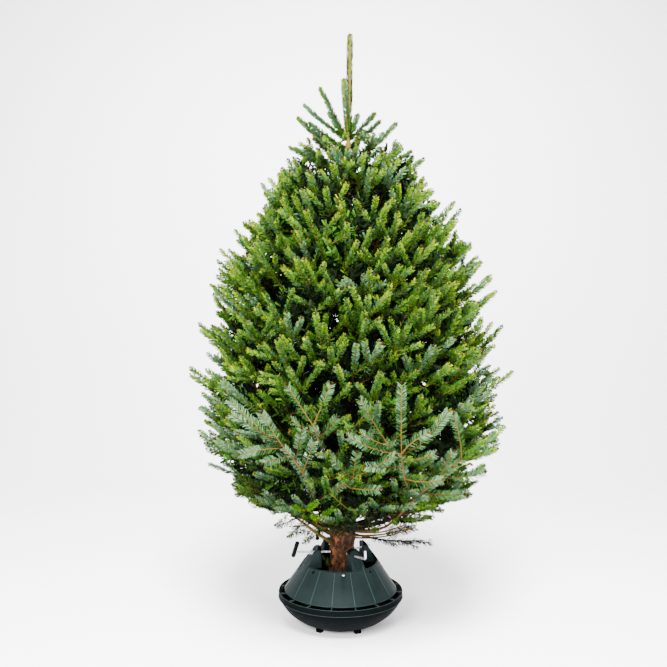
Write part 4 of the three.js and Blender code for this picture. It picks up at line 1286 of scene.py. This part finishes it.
def tower_outline():
    """A tower seen from outside, as sideways and height."""
    half = TOWER_TOP_WIDTH / 2
    crown = [(x, TOWER_TOP - half * TOWER_SHOULDER + y * TOWER_SHOULDER)
             for x, y in arc((0, 0), half, 0, 180, 14)]
    foot = COVER_MOUTH_HEIGHT - TOWER_ROOT
    return [(-TOWER_FOOT_WIDTH / 2, foot), (TOWER_FOOT_WIDTH / 2, foot)] + crown


def wedge(batch, outline, azimuth, swell=0.0):
    """An upright outline run out from a tower's inner face to the cover's slope."""

    def placing(points):
        side, height, outer = points.T
        radial = np.where(outer > 0, cover_radius(height) + swell, TOWER_INNER - swell)
        return turned(np.stack([radial, side, height], 1), azimuth)

    prism(batch, outline, 0.0, 1.0, placing)


def opening_cutters():
    """What is cut out of the cover: slots with their slits, the bolt's seat and the screws' holes."""
    batch = Batch()
    for azimuth in SLOT_TURNS:
        slot = block(SLOT_SIZE, 0.0, SLOT_SIZE)
        prism(batch, slot, *CUT_SPAN, at_cover(azimuth, SLOT_HEIGHT - SLOT_SINK))
        prism(batch, block(SLIT_WIDTH, *SLIT_SPAN), *CUT_SPAN, at_cover(azimuth, SLOT_HEIGHT))
    prism(batch, circle(SEAT_RADIUS), *SEAT_SPAN, at_cover(BOLT_TURN, BOLT_HEIGHT - SEAT_SINK))
    for azimuth in TOWERS.values():
        prism(batch, circle(SCREW_HOLE), *HOLE_SPAN, at_screw(azimuth))
    return stand_part(batch, "cutters")


def cover_mesh():
    batch = Batch()
    skirt = COVER_FOOT_HEIGHT - COVER_SKIRT
    profile = [(COVER_FOOT, skirt), (COVER_FOOT + LIP, skirt + LIP)]
    profile += [(COVER_FOOT + LIP, COVER_FOOT_HEIGHT - 0.001), (COVER_FOOT, COVER_FOOT_HEIGHT + 0.0004)]
    profile += [(COVER_MOUTH + out, COVER_MOUTH_HEIGHT + up) for out, up in MOUTH_STEPS]
    profile += [(COVER_FOOT - COVER_WALL, COVER_FOOT_HEIGHT - 0.001)]
    profile += [(COVER_FOOT - COVER_WALL, skirt), (COVER_FOOT, skirt)]
    turned_mesh(batch, profile)
    for azimuth in TOWERS.values():
        wedge(batch, tower_outline(), azimuth)
    cover = stand_part(batch, "cover")
    cutters = opening_cutters()
    cut = cover.modifiers.new("openings", "BOOLEAN")
    cut.operation = "DIFFERENCE"
    cut.solver = "EXACT"
    cut.use_self = True
    cut.object = cutters
    round_edges(cover, 0.0006, 40, harden=False)
    bpy.context.view_layer.update()
    dressed = cover.evaluated_get(bpy.context.evaluated_depsgraph_get())
    solid = bpy.data.meshes.new_from_object(dressed)
    cover.modifiers.clear()
    cover.data = solid
    bpy.data.objects.remove(cutters)
    return cover


def ribs_mesh():
    """The thin ribs up the cover, and the spokes in which they run on to the bowl's rim."""
    batch = Batch()
    spoke = block(RIB_WIDTH, COVER_FOOT - 0.002, RIM_RADIUS - RIM_WALL - 0.0012)
    for k in range(RIB_COUNT):
        azimuth = RIB_TURN + 360 / RIB_COUNT * k
        near = min(abs((azimuth - turn + 180) % 360 - 180) for turn in TOWERS.values())
        top = COVER_SLANT - RIB_SHORT if near > TOWER_SPREAD else COVER_SLANT + RIB_OVER
        prism(batch, block(RIB_WIDTH, 0.001, top), -0.003, RIB_HEIGHT, at_cover(azimuth))
        prism(batch, spoke, LEDGE_HEIGHT + SPOKE_FOOT, LEDGE_HEIGHT + SPOKE_TOP, at_turn(azimuth))
    return stand_part(batch, "cover_ribs", bevel=0.0005, sharp=40)


def edges_mesh(name, rings):
    """Painted highlights of edges that catch the light, as a thin wire at each radius and height."""
    batch = Batch()
    loop = circle(EDGE_THICKNESS, 12)
    for radius, height in rings:
        turned_mesh(batch, [(radius + x, height + y) for x, y in loop + loop[:1]])
    return stand_part(batch, name)


def latches_mesh():
    """The seams where the cover's halves meet, their gaps drawn as near-black lines of painted shade,
    a hook over each, and the towers' dark caps.
    """
    batch = Batch()
    for azimuth in SEAM_TURNS:
        for outline, low, high in SEAM_BLOCKS:
            prism(batch, block(*outline), low, high, at_cover(azimuth))
    top = tower_outline()[2:]
    outer = [(x * 1.04, z + CAP_LIFT) for x, z in top]
    inner = [(x * 0.90, z - CAP_HEIGHT + CAP_LIFT) for x, z in top]
    for azimuth in TOWERS.values():
        for k in range(len(top) - 1):
            wedge(batch, [outer[k], outer[k + 1], inner[k + 1], inner[k]], azimuth, swell=CAP_SWELL)
    return stand_part(batch, "cover_latches")


def panels_mesh():
    """The raised line round the panel on each tower's outer face."""
    batch = Batch()
    bow = [(x, y, 0) for x, y in arc((0, PANEL_FOOT), PANEL_HALF, 180, 360, 14)]
    panel = [(-PANEL_HALF, PANEL_TOP, 0)] + bow + [(PANEL_HALF, PANEL_TOP, 0)]
    for azimuth in TOWERS.values():
        path = on_cover(panel, azimuth, COVER_MOUTH_HEIGHT)
        batch.add(*tube(path, np.full(len(path), PANEL_LINE), 6))
    return stand_part(batch, "tower_panels")


def rod(batch, path, radii, sides):
    """A round bar with flat ends."""
    points, faces = tube(path, radii, sides)
    batch.add(points, np.concatenate([faces, fan(0, sides, back=True)]))


def add_thread(batch, tip, end, azimuth):
    """The screw's shank from its tip out, threaded for most of its length."""
    steps = int((end - tip) / THREAD_PITCH * THREAD_STEPS)
    along = np.linspace(tip, end, steps)[:, None]
    around = np.linspace(0, 2 * math.pi, SCREW_SIDES, endpoint=False)[None, :]
    ridge = (along / THREAD_PITCH + around / (2 * math.pi)) % 1.0
    threaded = np.clip((THREAD_END - along) / 0.002, 0, 1)
    radius = SCREW_RADIUS - THREAD_DEPTH * np.abs(ridge * 2 - 1) * threaded
    along = np.broadcast_to(along, radius.shape)
    grid = np.stack([along, radius * np.cos(around), radius * np.sin(around)], 2)
    batch.add(along_screw(grid.reshape(-1, 3), azimuth), bar_faces(steps, SCREW_SIDES))


def screw_mesh(place, azimuth):
    """A clamp screw: its shank, and then its bent lever, or the nut and washer of one with a grip."""
    lean = axis_point(SCREW_HEIGHT)
    turn = math.radians(azimuth)
    bark = trunk_radius(SCREW_HEIGHT) + lean[0] * math.cos(turn) + lean[1] * math.sin(turn)
    lever = LEVERS.get(place)
    end = lever.reach - SCREW_RADIUS - LEVER_BEND if lever else GRIP_PLACE - GRIP_RADIUS - GRIP_GAP
    batch = Batch()
    add_thread(batch, bark + SCREW_TIP_CLEAR, end, azimuth)
    if lever:
        bend = arc((end, LEVER_BEND), LEVER_BEND, -90, 0, 8) + [(end + LEVER_BEND, lever.leg)]
        roll = math.radians(lever.turn)
        path = [(end - 0.002, 0, 0)] + [(x, z * math.sin(roll), z * math.cos(roll)) for x, z in bend]
        rod(batch, along_screw(path, azimuth), np.full(len(path), SCREW_RADIUS * 0.95), 14)
    else:
        nut, washer = circle(NUT_RADIUS, 6), circle(NUT_RADIUS * 1.2, 24)
        for outline, foot, top in ((nut, 0.0, NUT_LENGTH), (washer, -0.0012, 0.0002)):
            prism(batch, outline, NUT_PLACE + foot, NUT_PLACE + top, at_screw(azimuth))
    return stand_part(batch, f"screw_{place}", bevel=0.0004, sharp=50)


def grip_mesh(place, azimuth):
    """A ribbed plastic grip with round ends, which stands on its screw and leans in a little."""
    half = GRIP_LENGTH / 2
    ends = np.radians(np.linspace(0, 84, 7))
    dome = [(half + GRIP_RADIUS * math.sin(a), GRIP_RADIUS * math.cos(a)) for a in ends]
    ribbed = [(y, GRIP_RADIUS - GRIP_RIDGE * (1 + math.cos(y / GRIP_PITCH * 2 * math.pi)))
              for y in np.linspace(-half, half, 41)]
    rings = [(-y, radius) for y, radius in dome[::-1]] + ribbed[1:-1] + dome
    cos, sin = math.cos(GRIP_LEAN), math.sin(GRIP_LEAN)
    points = [(GRIP_PLACE + out * cos - y * sin, side, GRIP_LIFT + out * sin + y * cos)
              for y, radius in rings for out, side in circle(radius)]
    batch = Batch()
    batch.add(along_screw(points, azimuth), bar_faces(len(rings), 20))
    return stand_part(batch, f"grip_{place}")


def bolt_mesh():
    batch = Batch()
    points = [(x, y, out) for share, out in BOLT_RINGS for x, y in circle(BOLT_RADIUS * share, 24)]
    faces = bar_faces(len(BOLT_RINGS), 24, closed_foot=False)
    batch.add(on_cover(points, BOLT_TURN, BOLT_HEIGHT), faces)
    return stand_part(batch, "bolt_head", bevel=0.0003)


# ------------------------------------------------------------------ materials


def linear(color):
    """A colour of 0 to 255 a channel, as the shader wants it."""
    shares = np.array(color) / 255
    values = np.where(shares <= 0.04045, shares / 12.92, ((shares + 0.055) / 1.055) ** 2.4)
    return (*values, 1.0)


def new_material(name, color, roughness, metallic=0.0, specular=0.5):
    material = bpy.data.materials.new(name)
    material.use_nodes = True
    shader = material.node_tree.nodes["Principled BSDF"]
    shader.inputs["Base Color"].default_value = linear(color)
    shader.inputs["Roughness"].default_value = roughness
    shader.inputs["Metallic"].default_value = metallic
    shader.inputs["Specular IOR Level"].default_value = specular
    return material, shader


def node(tree, kind, **settings):
    made = tree.nodes.new(kind)
    for name, value in settings.items():
        setattr(made, name, value)
    return made


def noise_node(tree, place, scale, detail, roughness=0.6):
    made = node(tree, "ShaderNodeTexNoise")
    made.inputs["Scale"].default_value = scale
    made.inputs["Detail"].default_value = detail
    made.inputs["Roughness"].default_value = roughness
    tree.links.new(place, made.inputs["Vector"])
    return made.outputs["Fac"]


def mix_colors(tree, share, first, second):
    made = node(tree, "ShaderNodeMix", data_type="RGBA")
    for socket, value in ((made.inputs[0], share), (made.inputs[6], first), (made.inputs[7], second)):
        if isinstance(value, bpy.types.NodeSocket):
            tree.links.new(value, socket)
        else:
            socket.default_value = value
    return made.outputs[2]


def remap(tree, value, low, high, to_low=0.0, to_high=1.0):
    made = node(tree, "ShaderNodeMapRange")
    tree.links.new(value, made.inputs["Value"])
    for socket, number in zip(list(made.inputs)[1:5], (low, high, to_low, to_high)):
        socket.default_value = number
    return made.outputs["Result"]


def combine(tree, operation, *values):
    """Values put together by a Math node."""
    made = node(tree, "ShaderNodeMath", operation=operation)
    for value, socket in zip(values, made.inputs):
        tree.links.new(value, socket)
    return made.outputs[0]


def object_place(tree):
    return node(tree, "ShaderNodeTexCoord").outputs["Object"]


def group_sockets(tree, takes, gives):
    kinds = {"color": "NodeSocketColor", "value": "NodeSocketFloat", "vector": "NodeSocketVector"}
    for names, way in ((takes, "INPUT"), (gives, "OUTPUT")):
        for name, kind in names.items():
            tree.interface.new_socket(name, in_out=way, socket_type=kinds[kind])
    return tree.nodes.new("NodeGroupInput"), tree.nodes.new("NodeGroupOutput")


def moulded_plastic_group():
    """Fine grain of moulded plastic, with dust on the faces that look up and dull scuffs."""
    tree = bpy.data.node_groups.new("moulded_plastic", "ShaderNodeTree")
    takes, gives = group_sockets(
        tree, {"Place": "vector", "Plastic": "color", "Dust": "color", "Dustiness": "value"},
        {"Color": "color", "Roughness": "value", "Height": "value"})
    place, dustiness = takes.outputs["Place"], takes.outputs["Dustiness"]
    grain = noise_node(tree, place, 900, 3)
    cloud = noise_node(tree, place, 11, 5)
    speck = noise_node(tree, place, 260, 4, 0.7)
    split = node(tree, "ShaderNodeSeparateXYZ")
    tree.links.new(node(tree, "ShaderNodeNewGeometry").outputs["Normal"], split.inputs[0])
    level = remap(tree, split.outputs["Z"], 0.1, 1.0, 0.12, 0.6)
    patchy = combine(tree, "MULTIPLY", remap(tree, cloud, 0.35, 0.75), level)
    dusty = combine(tree, "MULTIPLY", patchy, dustiness)
    specks = remap(tree, speck, 0.62, 0.72, 0.0, 0.12)
    share = combine(tree, "MULTIPLY_ADD", specks, dustiness, dusty)
    color = mix_colors(tree, share, takes.outputs["Plastic"], takes.outputs["Dust"])
    tree.links.new(color, gives.inputs["Color"])
    tree.links.new(remap(tree, cloud, 0.3, 0.7, 0.36, 0.52), gives.inputs["Roughness"])
    tree.links.new(grain, gives.inputs["Height"])
    return tree


def add_bump(tree, shader, height, strength, distance):
    bump = node(tree, "ShaderNodeBump")
    bump.inputs["Strength"].default_value = strength
    bump.inputs["Distance"].default_value = distance
    tree.links.new(height, bump.inputs["Height"])
    tree.links.new(bump.outputs["Normal"], shader.inputs["Normal"])


plastic_group = moulded_plastic_group()


def plastic_material(name, color, dust, dustiness, shine):
    material, shader = new_material(name, color, 0.45, specular=shine)
    tree = material.node_tree
    group = node(tree, "ShaderNodeGroup", node_tree=plastic_group)
    tree.links.new(object_place(tree), group.inputs["Place"])
    group.inputs["Plastic"].default_value = linear(color)
    group.inputs["Dust"].default_value = linear(dust)
    group.inputs["Dustiness"].default_value = dustiness
    tree.links.new(group.outputs["Color"], shader.inputs["Base Color"])
    tree.links.new(group.outputs["Roughness"], shader.inputs["Roughness"])
    add_bump(tree, shader, group.outputs["Height"], 0.25, 0.0004)
    return material


def bark_material(name, crack, flake, rust, fleck, young):
    """Bark by its relief: dark in the cracks, rusty on some flakes, and smooth and pale when young."""
    material, shader = new_material(name, flake, 0.85, specular=0.1)
    tree = material.node_tree
    relief = node(tree, "ShaderNodeAttribute", attribute_name="relief").outputs["Fac"]
    youth = node(tree, "ShaderNodeAttribute", attribute_name="youth").outputs["Fac"]
    place = object_place(tree)
    patches = noise_node(tree, place, 22, 4)
    fine = noise_node(tree, place, 240, 5, 0.7)
    rusty = mix_colors(tree, remap(tree, patches, 0.50, 0.62), linear(flake), linear(rust))
    edged = mix_colors(tree, remap(tree, fine, 0.56, 0.70, 0.0, 0.7), rusty, linear(fleck))
    cracked = mix_colors(tree, remap(tree, relief, 0.12, 0.62), linear(crack), edged)
    grown = mix_colors(tree, remap(tree, youth, 0.1, 0.9), cracked, linear(young))
    tree.links.new(grown, shader.inputs["Base Color"])
    tree.links.new(remap(tree, fine, 0.3, 0.7, 0.7, 0.95), shader.inputs["Roughness"])
    add_bump(tree, shader, fine, 0.6, 0.0012)
    return material


def steel_material():
    material, shader = new_material("zinc_steel", (190, 192, 196), 0.3, metallic=1.0)
    tree = material.node_tree
    cloud = noise_node(tree, object_place(tree), 120, 4)
    tone = mix_colors(tree, remap(tree, cloud, 0.4, 0.7), linear((205, 207, 210)), linear((150, 152, 156)))
    tree.links.new(tone, shader.inputs["Base Color"])
    tree.links.new(remap(tree, cloud, 0.3, 0.7, 0.22, 0.42), shader.inputs["Roughness"])
    return material

# ------------------------------------------------------------------ pieces

CHUNK = 190000              # triangles in one piece at the most


def chunks(batch):
    """A batch as one batch or several, none with more triangles than a piece may have."""
    whole = []
    part, size = Batch(), 0
    start = 0
    for points, faces, values in zip(batch.points, batch.faces, batch.values):
        if size + len(faces) > CHUNK:
            whole.append(part)
            part, size = Batch(), 0
        part.add(points, faces - start, values)
        start += len(points)
        size += len(faces)
    return whole + [part]


def plant_pieces(name, batch, color, roughness, smooth):
    material, _ = new_material(name, color, roughness, specular=0.03)
    parts = chunks(batch)
    for number, part in enumerate(parts):
        label = name if len(parts) == 1 else f"{name}_{number + 1}"
        dress(new_object(label, part.mesh(label, smooth)), material, foliage_nodes)


for tint, batch in needles.items():
    plant_pieces(f"needles_{tint}", batch, TINTS[tint], 0.55, smooth=False)
for name, batch in wood.items():
    plant_pieces(f"twigs_{name}", batch, WOODS[name], 0.62, smooth=True)
for name, batch in buds.items():
    plant_pieces(name, batch, BUDS[name], 0.55, smooth=True)

old_bark = bark_material("trunk_bark", (16, 10, 7), (50, 31, 18), (96, 54, 25), (126, 96, 68), (74, 64, 18))
limb_bark = bark_material("limb_bark", (16, 10, 5), (56, 40, 22), (76, 48, 20), (92, 74, 48), (78, 58, 20))
dress(new_object("trunk_bark_relief", trunk_mesh()), old_bark, ["trunk"])
bough_skin = boughs.mesh("boughs", smooth=True, attribute="youth")
dress(new_object("boughs", bough_skin), limb_bark, bough_nodes)

# The bowl's plastic is set far darker than the cover's, to how dark the shadowed bowl looks: partly its own
# colour, partly painted shade.
bowl_plastic = plastic_material("bowl_plastic", (5, 7, 7), (30, 35, 33), 0.12, 0.005)
cover_plastic = plastic_material("cover_plastic", (21, 29, 29), (61, 71, 70), 0.22, 0.02)
# A lighter plastic for the ribs, spokes and edge wires: painted highlights where their edges catch the light.
highlight_plastic = plastic_material("painted_highlight_plastic", (40, 55, 53), (72, 84, 80), 0.22, 0.03)
grip_plastic = plastic_material("grip_plastic", (3, 4, 4), (24, 26, 27), 0.15, 0.03)
steel = steel_material()

# Thin wires along the bowl's rim and the cover's foot, in the lighter plastic: painted highlights on these
# edges.
rim_highlight_rings = [(RIM_RADIUS - 0.0004, RIM_TOP - RIM_BAND), (RIM_RADIUS - 0.0016, RIM_TOP - 0.0008)]
foot_highlight_ring = [(COVER_FOOT + 0.0008, COVER_FOOT_HEIGHT - 0.0008)]
dress(bowl_mesh(), bowl_plastic, ["stand_bowl"])
dress(edges_mesh("bowl_rim_highlights", rim_highlight_rings), highlight_plastic, ["stand_bowl"])
for piece, material in (
    (cover_mesh(), cover_plastic), (ribs_mesh(), highlight_plastic),
    (edges_mesh("cover_foot_highlight", foot_highlight_ring), highlight_plastic),
    (latches_mesh(), grip_plastic), (panels_mesh(), grip_plastic),
):
    dress(piece, material, ["stand_cover"])
dress(bolt_mesh(), steel, ["cover_bolt"])
for place, azimuth in TOWERS.items():
    dress(screw_mesh(place, azimuth), steel, [f"clamp_screw_{place}"])
    if place not in LEVERS:
        dress(grip_mesh(place, azimuth), grip_plastic, [f"screw_grip_{place}"])

# ------------------------------------------------------------------ studio

CAMERA_PLACE = (-0.026, -2.77, 1.06)
CAMERA_LENS = 40.4          # millimetres
CAMERA_SENSOR = 36.0
SWEEP_START = 2.4           # where the floor starts to rise behind the tree, and its bend's radius
SWEEP_RADIUS = 1.4
FLOOR_FRONT = -6.0
PAPER_TOP = 6.0
PAPER_HALF = 8.0
SKY_COLOR = (0.9, 0.92, 0.95, 1)
SKY_STRENGTH = 0.36
LIGHTS = {                  # place, target, width, height and watts
    "key": ((-1.4, -3.5, 2.2), (0, 0, 1.1), 1.6, 1.6, 400),
    "fill": ((1.9, -3.2, 1.5), (0, 0, 0.9), 2.2, 2.2, 140),
    "overhead": ((0, -2.4, 4.4), (0, 0, 0.3), 1.7, 1.7, 1700),
    "wash": ((0, 1.5, 3.4), (0, 3.8, 1.3), 4.0, 1.0, 180),
}


def place_camera():
    """A level camera in front of the tree."""
    camera = new_object("camera", bpy.data.cameras.new("camera"))
    camera.data.lens = CAMERA_LENS
    camera.data.sensor_width = CAMERA_SENSOR
    camera.location = CAMERA_PLACE
    camera.rotation_euler = (math.radians(90), 0.0, 0.0)
    bpy.context.scene.camera = camera


def cyclorama():
    """A pale floor that sweeps up into the backdrop."""
    profile = [(FLOOR_FRONT, 0.0), (SWEEP_START, 0.0)]
    profile += [(SWEEP_START + SWEEP_RADIUS * math.sin(a), SWEEP_RADIUS - SWEEP_RADIUS * math.cos(a))
                for a in np.linspace(0.1, math.pi / 2, 12)]
    profile += [(SWEEP_START + SWEEP_RADIUS, PAPER_TOP)]
    points = [(x, y, z) for y, z in profile for x in (-PAPER_HALF, PAPER_HALF)]
    mesh = bpy.data.meshes.new("cyclorama")
    mesh.from_pydata(points, [], grid_faces(len(profile), 2, closed=False).tolist())
    mesh.polygons.foreach_set("use_smooth", [True] * len(mesh.polygons))
    material, _ = new_material("studio_paper", (250, 250, 252), 0.9)
    mesh.materials.append(material)
    new_object("cyclorama", mesh)


def soft_light(name, place, target, width, height, power):
    light = bpy.data.lights.new(name, "AREA")
    light.shape = "RECTANGLE"
    light.size = width
    light.size_y = height
    light.energy = power
    lamp = new_object(name, light)
    lamp.location = place
    way = Vector(target) - Vector(place)
    lamp.rotation_euler = way.to_track_quat("-Z", "Y").to_euler()


def light_sky():
    world = bpy.data.worlds.new("studio")
    bpy.context.scene.world = world
    world.use_nodes = True
    sky = world.node_tree.nodes["Background"]
    sky.inputs["Color"].default_value = SKY_COLOR
    sky.inputs["Strength"].default_value = SKY_STRENGTH


place_camera()
cyclorama()
for name, settings in LIGHTS.items():
    soft_light(name, *settings)
light_sky()
